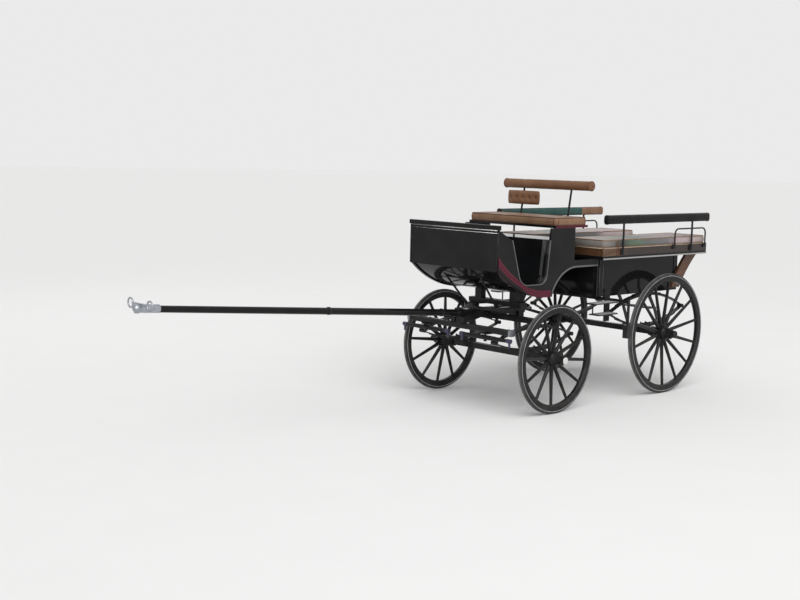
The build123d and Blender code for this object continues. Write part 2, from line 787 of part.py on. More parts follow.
def make_side_step():
    """Left side step: a hanger plate with two treads, linked at the front."""
    hanger_rear = brake_shaft_x + brake_shaft_radius + step_shaft_gap
    in_y = body_half_width
    step = block(hanger_rear, hanger_rear + step_hanger_length, in_y, in_y + step_hanger_thickness,
                 step_lower_z - step_hanger_tail, tub_floor_z + step_hanger_top)
    upper_front, lower_front = front_axle_x - step_upper_clear, front_axle_x - step_lower_clear
    for front, height in ((upper_front, step_upper_z), (lower_front, step_lower_z)):
        tread = block(hanger_rear, front, in_y, in_y + step_width, height, height + step_tread)
        step += fillet(tread.edges().filter_by(Axis.Z).sort_by(Axis.Y)[2:], step_corner)
    link_x, link_y = lower_front - step_link_inset, in_y + step_link_out
    step += rod((link_x, link_y, step_lower_z), (link_x, link_y, step_upper_z), step_link_radius)
    return step - make_tub_side()


def make_undergear():
    """What hangs below the body and stays with it: turntable top, rear axle, brake, steps and stays."""
    x = front_axle_x
    bolster = block(x - bed_length / 2, x + bed_length / 2, -bolster_half, bolster_half,
                    bolster_z, bolster_z + bolster_height)
    for y in (-bolster_block_y, bolster_block_y):
        bolster += block(x - bolster_block_length / 2, x + bolster_block_length / 2, y - bolster_block_half,
                         y + bolster_block_half, bolster_z + bolster_height, footwell_z + footboard_lift + board / 2)
    bolster -= make_footboard()
    bolster += ring(turntable_radius, turntable_width, upper_ring_z, turntable_thickness, x)
    bolster += rod((x, 0, bolster_z), (x, 0, bed_z - kingpin_tail), kingpin_radius)
    stays = None
    low_z = upper_ring_z + stay_radius
    front_top = swept_height(x + front_stay_reach) + footboard_lift + board / 2
    for side in (1, -1):
        stay = rod((x - turntable_radius, side * stay_low_y, low_z),
                   (tub_front_x + board, side * stay_high_y, arch_top - stay_drop), stay_radius)
        stay += rod((x + front_stay_ahead, side * stay_high_y, low_z),
                    (x + front_stay_reach, side * front_stay_y, front_top), stay_radius)
        stays = stay if stays is None else stays + stay
    for solid in (bolster, make_footboard(),
                  block(tub_front_x, tub_front_x + board, -inner_half, inner_half, tub_floor_z, tub_top)):
        stays -= solid
    axle = make_axle(rear_axle_x, rear_wheel_radius)
    spring = make_spring(rear_axle_x, rear_spring_y, rear_axle_top, tub_floor_z - rear_axle_top, rear_spring_half)
    deep, wide, tall = brake_block
    low = rear_wheel_radius + brake_block_lift
    shoe = block(shoe_x, shoe_x + deep, rim_y - wide / 2, rim_y + wide / 2, low, low + tall)
    arm_half = brake_arm_width / 2
    shoe += block(brake_shaft_x - brake_arm / 2, brake_shaft_x + brake_arm / 2, rim_y - arm_half, rim_y + arm_half,
                  low + tall / 2, brake_shaft_z)
    brake = shoe + mirror(shoe, about=Plane.XZ) + rod((brake_shaft_x, -rim_y - arm_half, brake_shaft_z),
                                                      (brake_shaft_x, rim_y + arm_half, brake_shaft_z),
                                                      brake_shaft_radius)
    long, across, below = brake_bracket
    for y in (-brake_bracket_y, brake_bracket_y):
        brake += block(brake_shaft_x - long / 2, brake_shaft_x + long / 2, y - across / 2, y + across / 2,
                       brake_shaft_z - below, tub_floor_z)
    rear_step = None
    rear_step_z = [tub_floor_z - drop for drop in rear_step_drops]
    for height, reach in zip(rear_step_z, rear_step_reach):
        tread = block(tub_rear_x - reach, tub_rear_x - reach + rear_step_depth, -rear_step_half, rear_step_half,
                      height, height + step_tread)
        rear_step = tread if rear_step is None else rear_step + tread
    tread_low, tread_high = [tub_rear_x - reach for reach in rear_step_reach]
    root_z = tub_floor_z - rear_step_iron
    for y in (-rear_step_half, rear_step_half - rear_step_iron):
        rear_step += slab(outline([
            (tub_rear_x + rear_step_root, tub_floor_z), (tub_rear_x + rear_step_root, root_z),
            (tub_rear_x + rear_step_depth / 2, root_z), (tread_high + rear_step_strap, rear_step_z[1] - step_tread),
            (tread_low + rear_step_strap, rear_step_z[0] + step_tread / 2), (tread_low, rear_step_z[0] + step_tread / 2),
            (tread_high, rear_step_z[1] - step_tread), (tub_rear_x, root_z), (tub_rear_x, tub_floor_z)]),
            y, y + rear_step_iron)
    outer = whip_bore_radius + whip_socket_wall
    socket_y = -body_half_width - whip_socket_gap - outer
    socket_x = riser_front_x - whip_socket_set
    low = bench_board_z - whip_socket_drop
    high = low + whip_socket_length
    whip = rod((socket_x, socket_y, low), (socket_x, socket_y, high), outer)
    whip += block(socket_x - whip_bracket_half, socket_x + whip_bracket_half, socket_y, -body_half_width,
                  low + whip_bracket_inset, high - whip_bracket_inset)
    whip -= rod((socket_x, socket_y, low + whip_socket_floor), (socket_x, socket_y, high), whip_bore_radius)
    return {
        "top_bolster": bolster, "body_stays": stays, "rear_axle": axle, "rear_springs": both_sides(spring),
        "side_steps": both_sides(make_side_step()), "brake_gear": brake, "rear_step": rear_step, "whip_socket": whip,
    }


def make_fore_carriage():
    """What turns with the pole: axle, springs, frame, lower ring, splinter bar and swingletrees."""
    x = front_axle_x
    spring = make_spring(x, front_spring_y, front_axle_top, front_spring_height, front_spring_half)
    bed = block(x - bed_length / 2, x + bed_length / 2, -bed_half_width, bed_half_width, bed_z, bed_z + bed_height)
    bed -= rod((x, 0, bed_z), (x, 0, bed_z + bed_height), kingpin_radius + bearing_clearance)
    top, end = lower_ring_z, x + futchell_front
    futchell = slab(outline([
        (x - futchell_rear, futchell_z), (x - futchell_rear, top), (x + futchell_knee, top),
        (splinter_x, splinter_top + futchell_tip_height), (end, splinter_top + futchell_tip_height),
        (end, splinter_top), (splinter_x, splinter_top), (x + futchell_knee, futchell_z),
    ]), futchell_y, futchell_y + futchell_width)
    frame = bed + futchell + mirror(futchell, about=Plane.XZ)
    frame += block(x - futchell_rear, x - futchell_rear + sway_bar, -sway_bar_half, sway_bar_half,
                   lower_ring_z - sway_bar, lower_ring_z)
    ring_inner, ring_outer = turntable_radius - turntable_width / 2, turntable_radius + turntable_width / 2
    stay_start_z = (splinter_z + splinter_top) / 2
    for side in (1, -1):
        near, far = sorted((side * ring_inner, side * ring_outer))
        frame += block(x - ring_block_length / 2, x + ring_block_length / 2, near, far, futchell_z, lower_ring_z)
        frame += rod((x, side * (bed_half_width - splinter_stay_inset), bed_z + bed_height / 2),
                     (splinter_x + futchell_tip / 2, side * (splinter_half - splinter_stay_inset), stay_start_z),
                     splinter_stay_radius)
    frame -= block(splinter_x, end, -splinter_half, splinter_half, splinter_z, splinter_top)
    splinter = block(splinter_x, end, -splinter_half, splinter_half, splinter_z, splinter_top)
    splinter = chamfer(splinter.edges().filter_by(Axis.Y), splinter_chamfer)
    proud = splinter_ferrule_proud
    for near, far in ((splinter_half - splinter_ferrule, splinter_half), (-splinter_half, splinter_ferrule - splinter_half)):
        band = block(splinter_x - proud, end + proud, near, far, splinter_z - proud, splinter_top + proud)
        splinter += chamfer(band.edges().filter_by(Axis.Y), splinter_chamfer)
    splinter += block(splinter_x + splinter_chamfer, x + pole_butt_end, -futchell_y, futchell_y,
                      splinter_top, futchell_z)
    trace_pin_z = swingletree_z - swingletree_end_radius - ferrule_wall - trace_pin_shoulder
    tree_top = splinter_z - pivot_plate
    nut_top = swingletree_z - swingletree_radius - pivot_nut_gap
    for y in (-swingletree_y, swingletree_y):
        splinter += block(splinter_x + splinter_chamfer, pivot_x + pivot_plate_edge, y - pivot_plate_width / 2,
                          y + pivot_plate_width / 2, tree_top, splinter_z)
        splinter += rod((pivot_x, y, tree_top), (pivot_x, y, nut_top - pivot_nut), pivot_pin_radius)
        splinter += rod((pivot_x, y, nut_top - pivot_nut), (pivot_x, y, nut_top), pivot_nut_radius)
    middle = (pivot_x, swingletree_y, swingletree_z)
    tree = None
    for way in (1, -1):
        end_y = swingletree_y + way * (swingletree_half - ferrule_length)
        half = rod(middle, (pivot_x, end_y, swingletree_z), swingletree_radius, swingletree_end_radius)
        half += rod((pivot_x, end_y, swingletree_z), (pivot_x, end_y + way * ferrule_length, swingletree_z),
                    swingletree_end_radius + ferrule_wall)
        pin_y = end_y + way * (ferrule_length - trace_pin_inset)
        half += rod((pivot_x, pin_y, swingletree_z), (pivot_x, pin_y, trace_pin_z), trace_pin_shoulder_radius)
        half += rod((pivot_x, pin_y, trace_pin_z), (pivot_x, pin_y, trace_pin_z - trace_pin_length),
                    trace_pin_radius)
        tree = half if tree is None else tree + half
    tree -= Pos(*middle) * Cylinder(pivot_pin_radius + bearing_clearance, 4 * swingletree_radius)
    butt = block(x + pole_butt_start, x + pole_butt_end, -pole_width / 2, pole_width / 2,
                 futchell_z, lower_ring_z - pole_ring_gap)
    shaft_start = (x + pole_butt_end - pole_splice, 0, pole_rest_z)
    head_x = pole_tip_x - pole_head_nose - pole_head_length
    slope = (pole_tip_height - pole_rest_z) / (pole_tip_x - shaft_start[0])
    head_z = pole_rest_z + slope * (head_x - shaft_start[0])
    pole = butt + rod(shaft_start, (head_x, 0, head_z), pole_root_radius, pole_tip_radius)
    head = make_pole_head(slope)
    return {
        "front_axle": make_axle(x, front_wheel_radius), "front_springs": both_sides(spring),
        "futchells": frame,
        "lower_ring": ring(turntable_radius, turntable_width, lower_ring_z, turntable_thickness, x),
        "splinter_bar": splinter, "swingletree_left": tree, "swingletree_right": mirror(tree, about=Plane.XZ),
        "pole": pole, "pole_head": head,
    }


def make_pole_head(slope):
    """Steel head on the tip of the pole with a cross bar for the two pole-strap rings."""
    radius = pole_tip_radius + pole_head_wall
    back_x = pole_tip_x - pole_head_nose - pole_head_length
    nose_x = pole_tip_x - radius
    centre = (nose_x, 0, pole_tip_height)
    back = (back_x, 0, pole_tip_height - slope * (nose_x - back_x))
    length = (Vector(*centre) - Vector(*back)).length
    shell = make_face([
        Line((0, 0), (radius, 0)), Line((radius, 0), (radius, length)),
        RadiusArc((radius, length), (0, length + radius), -radius), Line((0, length + radius), (0, 0))])
    head = Plane(origin=back, z_dir=Vector(*centre) - Vector(*back)) * revolve(Plane.XZ * shell, Axis.Z)
    bar_x = nose_x - crab_bar_back
    bar_z = pole_tip_height + radius - crab_bar_sink
    head += rod((bar_x, -crab_bar_half, bar_z), (bar_x, crab_bar_half, bar_z), crab_bar_radius)
    for side in (1, -1):
        eye_y = side * (crab_bar_half + crab_ring_radius - crab_bar_sink)
        eye = Plane(origin=(bar_x, eye_y, bar_z), z_dir=(1, 0, 0))
        head += eye * Torus(crab_ring_radius, crab_ring_wire)
    low, high = pole_tip_height - radius - pole_eye_boss, pole_tip_height + radius + pole_eye_boss
    head += rod((nose_x, 0, low), (nose_x, 0, high), pole_eye_boss_radius)
    head -= rod((nose_x, 0, low), (nose_x, 0, high), pole_eye_radius)
    return head


def make_wheels():
    """Four wheels, each with its tyre, set on the axle arms."""
    nodes = {}
    corners = (
        ("front", front_axle_x, front_wheel_radius, front_spokes, front_spoke_phase),
        ("rear", rear_axle_x, rear_wheel_radius, rear_spokes, rear_spoke_phase),
    )
    for end, x, radius, spokes, phase in corners:
        for name, side in (("left", 1), ("right", -1)):
            place = Plane(origin=(x, side * rim_y, radius), x_dir=(1, 0, 0), z_dir=(0, side, 0))
            wheel, tyre = make_wheel(radius, spokes, phase, -side)
            nodes[f"wheel_{end}_{name}"] = place * wheel
            nodes[f"tyre_{end}_{name}"] = place * tyre
    return nodes


os.makedirs("parts", exist_ok=True)
nodes = {**make_body(), **make_door(), **make_seats(), **make_undergear(), **make_fore_carriage(), **make_wheels()}
for name, shape in nodes.items():
    moved = [Pos(shift, 0, 0) * solid for solid in shape.solids()]
    export_step(moved[0] if len(moved) == 1 else Compound(children=moved), f"parts/{name}.step")
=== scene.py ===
import math
import bmesh
import bpy
from mathutils import Matrix, Vector
from mathutils.bvhtree import BVHTree


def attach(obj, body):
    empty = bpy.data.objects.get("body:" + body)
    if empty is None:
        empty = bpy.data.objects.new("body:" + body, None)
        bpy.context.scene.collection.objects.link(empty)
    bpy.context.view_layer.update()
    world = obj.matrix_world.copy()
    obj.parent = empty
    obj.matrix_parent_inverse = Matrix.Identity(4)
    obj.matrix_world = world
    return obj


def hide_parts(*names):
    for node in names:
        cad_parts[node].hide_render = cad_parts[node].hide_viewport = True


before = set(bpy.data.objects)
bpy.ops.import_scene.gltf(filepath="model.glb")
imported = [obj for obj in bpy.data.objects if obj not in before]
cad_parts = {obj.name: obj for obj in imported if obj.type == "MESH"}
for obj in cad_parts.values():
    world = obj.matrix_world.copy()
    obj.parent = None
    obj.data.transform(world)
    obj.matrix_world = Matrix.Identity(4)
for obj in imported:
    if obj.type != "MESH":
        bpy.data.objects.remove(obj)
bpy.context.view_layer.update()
body, foreCarriage = "carriage_body", "fore_carriage"
midX = -1.425  # where the middle of the wheelbase lies along X
bothHands = (1, -1)  # left and right


# Places are in millimetres, along X from the middle of the wheelbase; radii and the stuffed work are in metres
def at(x, y, z):
    return Vector((x / 1000 + midX, y / 1000, z / 1000))


def turns(count):
    return [2 * math.pi * k / count for k in range(count)]


# A value that comes from another node is linked, and any other is set on the socket
def feed(tree, sockets, values):
    for label, value in values.items():
        if isinstance(value, bpy.types.NodeSocket):
            tree.links.new(value, sockets[label])
        else:
            sockets[label].default_value = (*value, 1) if sockets[label].type == "RGBA" else value


def setAll(thing, settings):
    for label, value in settings.items():
        setattr(thing, label, value)


def addNode(tree, kind, values=None, **settings):
    node = tree.nodes.new("ShaderNode" + kind)
    setAll(node, settings)
    feed(tree, node.inputs, values or {})
    return node.outputs


def mathNode(tree, kind, *values, clamp=False):
    return addNode(tree, "Math", dict(enumerate(values)), operation=kind, use_clamp=clamp)[0]


def product(tree, first, second, third):
    return mathNode(tree, "MULTIPLY", mathNode(tree, "MULTIPLY", first, second), third, clamp=True)


def rangeNode(tree, value, low, high, outLow=0.0, outHigh=1.0):
    ends = {"From Min": low, "From Max": high, "To Min": outLow, "To Max": outHigh}
    return addNode(tree, "MapRange", {"Value": value, **ends})[0]


def noiseNode(tree, vector, scale, detail=3.0, rough=0.55):
    return addNode(tree, "TexNoise", {"Vector": vector, "Scale": scale, "Detail": detail, "Roughness": rough})["Fac"]


def objectCoords(tree, stretch=(1, 1, 1), turn=(0, 0, 0)):
    coords = addNode(tree, "TexCoord")["Object"]
    return addNode(tree, "Mapping", {"Vector": coords, "Scale": stretch, "Rotation": turn})["Vector"]


def axisOf(tree, vector, axis):
    return addNode(tree, "SeparateXYZ", {0: vector})[axis]


def surfaceNormal(tree):
    return addNode(tree, "NewGeometry")["Normal"]


def mixColour(tree, factor, first, second, blend="MIX"):
    return addNode(tree, "Mix", {0: factor, 6: first, 7: second}, data_type="RGBA", blend_type=blend)[2]


def mixValue(tree, factor, first, second):
    return rangeNode(tree, factor, 0.0, 1.0, first, second)


def waveNode(tree, direction, values):
    return addNode(tree, "TexWave", values, wave_type="BANDS", bands_direction=direction)["Fac"]


# Effects shared by the finishes: each is a node group that puts out masks or heights
def edgeWear(group, given):
    bevel = addNode(group, "Bevel", {"Radius": given["Radius"]}, samples=4)["Normal"]
    dot = addNode(group, "VectorMath", {0: bevel, 1: surfaceNormal(group)}, operation="DOT_PRODUCT")["Value"]
    patch = rangeNode(group, noiseNode(group, objectCoords(group), given["Patch Scale"], 4), 0.42, 0.62)
    return {"Mask": product(group, rangeNode(group, dot, 0.995, 0.86), patch, given["Amount"])}


def roadDust(group, given):
    vector = objectCoords(group)
    low = rangeNode(group, axisOf(group, vector, "Z"), given["Top"], 0.0)
    upward = rangeNode(group, axisOf(group, surfaceNormal(group), "Z"), 0.5, 1.0)
    cover = mathNode(group, "ADD", low, mathNode(group, "MULTIPLY", upward, given["Ledge"]), clamp=True)
    blotch = rangeNode(group, noiseNode(group, vector, given["Scale"], 5, 0.65), 0.35, 0.7)
    return {"Mask": product(group, cover, blotch, given["Amount"])}


def woodGrain(group, given):
    wave = waveNode(group, "DIAGONAL", {"Vector": objectCoords(group, (0.12, 1, 1)), "Scale": given["Ring Scale"],
                                        "Distortion": 5.0, "Detail": 3.0, "Detail Scale": 1.6})
    pores = noiseNode(group, objectCoords(group, (0.06, 1, 1)), given["Pore Scale"], 4, 0.7)
    figure = mathNode(group, "ADD", mathNode(group, "MULTIPLY", wave, 0.6),
                      mathNode(group, "MULTIPLY", pores, 0.4), clamp=True)
    return {"Figure": figure, "Height": pores}


def hideGrain(group, given):
    vector = objectCoords(group)
    pebble = addNode(group, "TexVoronoi", {"Vector": vector, "Scale": given["Pebble Scale"]}, feature="SMOOTH_F1")
    crease = noiseNode(group, objectCoords(group, (1, 1, 2.5)), given["Crease Scale"], 5, 0.6)
    height = mathNode(group, "ADD", mathNode(group, "MULTIPLY", pebble["Distance"], 0.35), crease)
    return {"Height": height, "Mottle": rangeNode(group, noiseNode(group, vector, 7.0, 4, 0.6), 0.3, 0.7)}


def clothWeave(group, given):
    warp, weft = [waveNode(group, "X", {"Vector": objectCoords(group, turn=(0, 0, turn)), "Distortion": 1.2,
                                        "Scale": given["Thread Scale"]}) for turn in (0, math.pi / 2)]
    nap = noiseNode(group, objectCoords(group), given["Nap Scale"], 6, 0.7)
    height = mathNode(group, "ADD", mathNode(group, "MULTIPLY", mathNode(group, "ADD", warp, weft), 0.3), nap)
    return {"Height": height, "Mottle": rangeNode(group, nap, 0.3, 0.7)}


def brushMarks(group, given):
    flow = noiseNode(group, objectCoords(group), given["Scale"], 2, 0.4)
    fine = noiseNode(group, objectCoords(group, (1, 1, 6)), 34.0, 3, 0.5)
    return {"Height": mathNode(group, "ADD", flow, mathNode(group, "MULTIPLY", fine, 0.08)),
            "Mottle": rangeNode(group, flow, 0.3, 0.7)}


def sideBand(group, given):
    across = mathNode(group, "ABSOLUTE", axisOf(group, objectCoords(group), "Y"))
    away = mathNode(group, "ABSOLUTE", mathNode(group, "SUBTRACT", across, given["Centre"]))
    return {"Mask": mathNode(group, "GREATER_THAN", away, given["From"])}


def newEffect(build, given):
    group = bpy.data.node_groups.new(build.__name__, "ShaderNodeTree")
    for label, value in given.items():
        group.interface.new_socket(label, in_out="INPUT", socket_type="NodeSocketFloat").default_value = value
    made = build(group, group.nodes.new("NodeGroupInput").outputs)
    for label in made:
        group.interface.new_socket(label, in_out="OUTPUT", socket_type="NodeSocketFloat")
    feed(group, group.nodes.new("NodeGroupOutput").inputs, made)
    return group


effects = {
    "sideBand": newEffect(sideBand, {"Centre": 0.0, "From": 0.5}),
    "edgeWear": newEffect(edgeWear, {"Radius": 0.004, "Patch Scale": 30.0, "Amount": 0.5}),
    "roadDust": newEffect(roadDust, {"Top": 0.9, "Ledge": 0.3, "Amount": 0.5, "Scale": 14.0}),
    "woodGrain": newEffect(woodGrain, {"Ring Scale": 9.0, "Pore Scale": 60.0}),
    "hideGrain": newEffect(hideGrain, {"Pebble Scale": 260.0, "Crease Scale": 9.0}),
    "clothWeave": newEffect(clothWeave, {"Thread Scale": 420.0, "Nap Scale": 40.0}),
    "brushMarks": newEffect(brushMarks, {"Scale": 6.0}),
}
print("effects ready")


def newFinish(name, values):
    finish = bpy.data.materials.new(name)
    finish.use_nodes = True
    shader = finish.node_tree.nodes["Principled BSDF"].inputs
    feed(finish.node_tree, shader, values)
    return finish, finish.node_tree, shader


def useEffect(tree, name, **values):
    values = {label.replace("_", " "): value for label, value in values.items()}
    return addNode(tree, "Group", values, node_tree=effects[name])


def wornMask(tree, radius, scale, amount):
    return useEffect(tree, "edgeWear", Radius=radius, Patch_Scale=scale, Amount=amount)["Mask"]


def dustMask(tree, top, ledge, amount, scale):
    return useEffect(tree, "roadDust", Top=top, Ledge=ledge, Amount=amount, Scale=scale)["Mask"]


def addBump(tree, shader, height, strength, distance):
    bump = addNode(tree, "Bump", {"Height": height, "Strength": strength, "Distance": distance})
    feed(tree, shader, {"Normal": bump["Normal"]})


dustColour = (0.16, 0.142, 0.12)
lacquerCoat = 0.08


def makeLacquer(name, colour, lighter, wornColour, dustTop=1.0, dustAmount=0.08, wear=0.4, rough=0.1, band=None):
    finish, tree, shader = newFinish(name, {"Roughness": rough, "Coat Weight": lacquerCoat,
                                            "Specular IOR Level": 0.12})
    marks = useEffect(tree, "brushMarks", Scale=5.0)
    worn = wornMask(tree, 0.003, 26.0, wear)
    dust = dustMask(tree, dustTop, 0.22, dustAmount, 11.0)
    base = mixColour(tree, worn, mixColour(tree, marks["Mottle"], colour, lighter), wornColour)
    base = mixColour(tree, dust, base, dustColour)
    dullness = mixValue(tree, mathNode(tree, "MAXIMUM", dust, worn), rough, 0.6)
    if band:
        mask = useEffect(tree, "sideBand", Centre=band["centre"], From=band["start"])["Mask"]
        base = mixColour(tree, mask, base, band["colour"])
        dullness = mixValue(tree, mask, dullness, band["rough"])
        feed(tree, shader, {"Metallic": mathNode(tree, "MULTIPLY", mask, band["metal"])})
    feed(tree, shader, {"Base Color": base, "Roughness": dullness,
                        "Coat Weight": mixValue(tree, dust, lacquerCoat, 0.0)})
    addBump(tree, shader, marks["Height"], 0.25, 0.0012)
    return finish


def makeIron(name, colour, bright, rough=0.38, dustAmount=0.3, wear=0.6):
    finish, tree, shader = newFinish(name, {"Roughness": rough, "Specular IOR Level": 0.2})
    marks = useEffect(tree, "brushMarks", Scale=22.0)
    worn = wornMask(tree, 0.003, 40.0, wear)
    dust = dustMask(tree, 0.8, 0.35, dustAmount, 16.0)
    base = mixColour(tree, worn, mixColour(tree, marks["Mottle"], colour, tuple(c * 1.6 for c in colour)), bright)
    feed(tree, shader, {"Base Color": mixColour(tree, dust, base, dustColour),
                        "Metallic": mathNode(tree, "MULTIPLY", worn, 0.7),
                        "Roughness": mixValue(tree, dust, rough, 0.85)})
    addBump(tree, shader, marks["Height"], 0.3, 0.0008)
    return finish


def makeBrightMetal(name, colour, rough):
    finish, tree, shader = newFinish(name, {"Roughness": rough, "Metallic": 1.0})
    marks = useEffect(tree, "brushMarks", Scale=30.0)
    feed(tree, shader, {"Base Color": mixColour(tree, marks["Mottle"], colour, tuple(c * 0.72 for c in colour)),
                        "Roughness": mixValue(tree, marks["Mottle"], rough, rough + 0.14)})
    addBump(tree, shader, marks["Height"], 0.12, 0.0005)
    return finish


def makeRubber():
    finish, tree, shader = newFinish("greyRubber", {"Roughness": 0.62, "Specular IOR Level": 0.22})
    marks = useEffect(tree, "brushMarks", Scale=18.0)
    dust = dustMask(tree, 3.0, 0.0, 0.3, 9.0)
    # Rubbed edges, made light and nearly unbroken so that they also serve as painted highlight along the tyre's edges
    worn = wornMask(tree, 0.006, 12.0, 0.9)
    base = mixColour(tree, marks["Mottle"], (0.016, 0.016, 0.018), (0.030, 0.030, 0.033))
    base = mixColour(tree, worn, base, (0.13, 0.13, 0.14))
    # The tread is painted lighter grey, a painted reflection of the light on it, and the sides stay dark
    facing = axisOf(tree, addNode(tree, "TexCoord")["Normal"], "Y")
    treadReflection = rangeNode(tree, mathNode(tree, "ABSOLUTE", facing), 0.75, 0.25)
    base = mixColour(tree, treadReflection, base, mixColour(tree, marks["Mottle"], (0.10, 0.10, 0.098), (0.17, 0.168, 0.16)))
    feed(tree, shader, {"Base Color": mixColour(tree, dust, base, (0.11, 0.105, 0.09))})
    addBump(tree, shader, marks["Height"], 0.4, 0.001)
    return finish


# The apron under the cushions is brown at its front and darkens towards the rear
apronTones = {"from": -1.46, "to": -1.66, "dark": (0.024, 0.014, 0.012)}


def makeVarnish(name, dark, light, rubbed, tones=None):
    finish, tree, shader = newFinish(name, {"Roughness": 0.25, "Coat Weight": 0.3, "Specular IOR Level": 0.2})
    grain = useEffect(tree, "woodGrain", Ring_Scale=14.0, Pore_Scale=70.0)
    worn = wornMask(tree, 0.004, 18.0, 0.5)
    base = mixColour(tree, worn, mixColour(tree, grain["Figure"], dark, light), rubbed)
    if tones:
        along = rangeNode(tree, axisOf(tree, objectCoords(tree), "X"), tones["from"], tones["to"])
        base = mixColour(tree, along, base, tones["dark"])
    feed(tree, shader, {"Base Color": base, "Roughness": mixValue(tree, grain["Figure"], 0.34, 0.22)})
    addBump(tree, shader, grain["Height"], 0.2, 0.0008)
    return finish


def makeHide(name, colour, lighter, rubbed, rough=0.4, specular=0.2):
    finish, tree, shader = newFinish(name, {"Roughness": rough, "Specular IOR Level": specular})
    hide = useEffect(tree, "hideGrain", Pebble_Scale=240.0, Crease_Scale=11.0)
    worn = wornMask(tree, 0.009, 16.0, 0.55)
    feed(tree, shader, {
        "Base Color": mixColour(tree, worn, mixColour(tree, hide["Mottle"], colour, lighter), rubbed),
        "Roughness": mixValue(tree, hide["Mottle"], rough + 0.08, rough - 0.08),
    })
    addBump(tree, shader, hide["Height"], 0.45, 0.0016)
    return finish


def newCloth(name, threads, sheen):
    finish, tree, shader = newFinish(name, {"Roughness": 0.9, "Sheen Weight": sheen, "Specular IOR Level": 0.2})
    weave = useEffect(tree, "clothWeave", Thread_Scale=threads, Nap_Scale=36.0)
    addBump(tree, shader, weave["Height"], 0.6, 0.0014)
    return finish, tree, shader, weave["Mottle"]


def makeCloth(name, colour, lighter, threads):
    finish, tree, shader, mottle = newCloth(name, threads, 0.35)
    feed(tree, shader, {"Base Color": mixColour(tree, mottle, colour, lighter)})
    return finish


# The bench cloth shades from slate at the front through green to a dusty pink, and its top faces are painted lighter:
# painted light from above
benchTones = {
    "start": -2.825, "end": -1.295, "warp": 0.08, "scale": 5.0, "threads": 420.0, "sheen": 0.25,
    "sides": ((0.04, (0.31, 0.26, 0.23)), (0.16, (0.45, 0.36, 0.36)), (0.33, (0.43, 0.34, 0.35)),
              (0.42, (0.16, 0.15, 0.16)), (0.62, (0.12, 0.125, 0.12)), (0.68, (0.100, 0.150, 0.105)),
              (0.78, (0.085, 0.125, 0.082)), (0.84, (0.045, 0.050, 0.055)), (0.99, (0.22, 0.20, 0.18))),
    "top": ((0.10, (0.42, 0.35, 0.34)), (0.40, (0.47, 0.40, 0.40)), (0.68, (0.28, 0.31, 0.28)),
            (0.95, (0.48, 0.43, 0.40))),
}


def makeBenchCloth():
    finish, tree, shader, mottle = newCloth("benchCloth", benchTones["threads"], benchTones["sheen"])
    vector = objectCoords(tree)
    warp = mathNode(tree, "MULTIPLY", noiseNode(tree, vector, benchTones["scale"], 3), benchTones["warp"])
    along = mathNode(tree, "ADD", axisOf(tree, vector, "X"), warp)
    place = rangeNode(tree, along, benchTones["start"], benchTones["end"])
    tones = []
    for part in ("sides", "top"):
        ramp = tree.nodes.new("ShaderNodeValToRGB")
        stops = ramp.color_ramp.elements
        for number, (position, colour) in enumerate(benchTones[part]):
            stop = stops[number] if number < 2 else stops.new(position)
            stop.position, stop.color = position, (*colour, 1)
        feed(tree, ramp.inputs, {"Fac": place})
        tones.append(ramp.outputs["Color"])
    # Upward faces take the lighter top tones: painted light
    facing = rangeNode(tree, axisOf(tree, surfaceNormal(tree), "Z"), 0.55, 0.85)
    faded = mixColour(tree, mottle, (0.78, 0.78, 0.78), (1.0, 1.0, 1.0))
    feed(tree, shader, {"Base Color": mixColour(tree, 1.0, mixColour(tree, facing, *tones), faded, "MULTIPLY")})
    return finish


bands = {
    # The grey band on the edges of the front sides is painted reflection
    "rim": {"centre": 0.0, "start": 0.5008, "colour": (0.115, 0.115, 0.12), "rough": 0.3, "metal": 0.0},
    "moulding": {"centre": 0.0, "start": 0.6203, "colour": (0.42, 0.42, 0.41), "rough": 0.3, "metal": 1.0},
    "hubCap": {"centre": 0.0, "start": 0.7738, "colour": (0.78, 0.77, 0.75), "rough": 0.22, "metal": 1.0},
    "barFerrule": {"centre": 0.0, "start": 0.574, "colour": (0.26, 0.27, 0.30), "rough": 0.4, "metal": 1.0},
    "seatEdge": {"centre": 0.0, "start": 0.4985, "colour": (0.075, 0.010, 0.022), "rough": 0.25, "metal": 0.0},
    "treeFerrule": {"centre": 0.345, "start": 0.2345, "colour": (0.075, 0.072, 0.12), "rough": 0.38, "metal": 1.0},
}


def makeBlack(name, band=None):
    return makeLacquer(name, (0.006, 0.006, 0.0065), (0.011, 0.011, 0.012), (0.09, 0.085, 0.08), band=band)


def makeWheelBlack(name, band=None):
    return makeLacquer(name, (0.007, 0.007, 0.008), (0.012, 0.012, 0.013), (0.11, 0.105, 0.10), dustTop=1.3,
                       dustAmount=0.14, wear=0.75, rough=0.2, band=band)


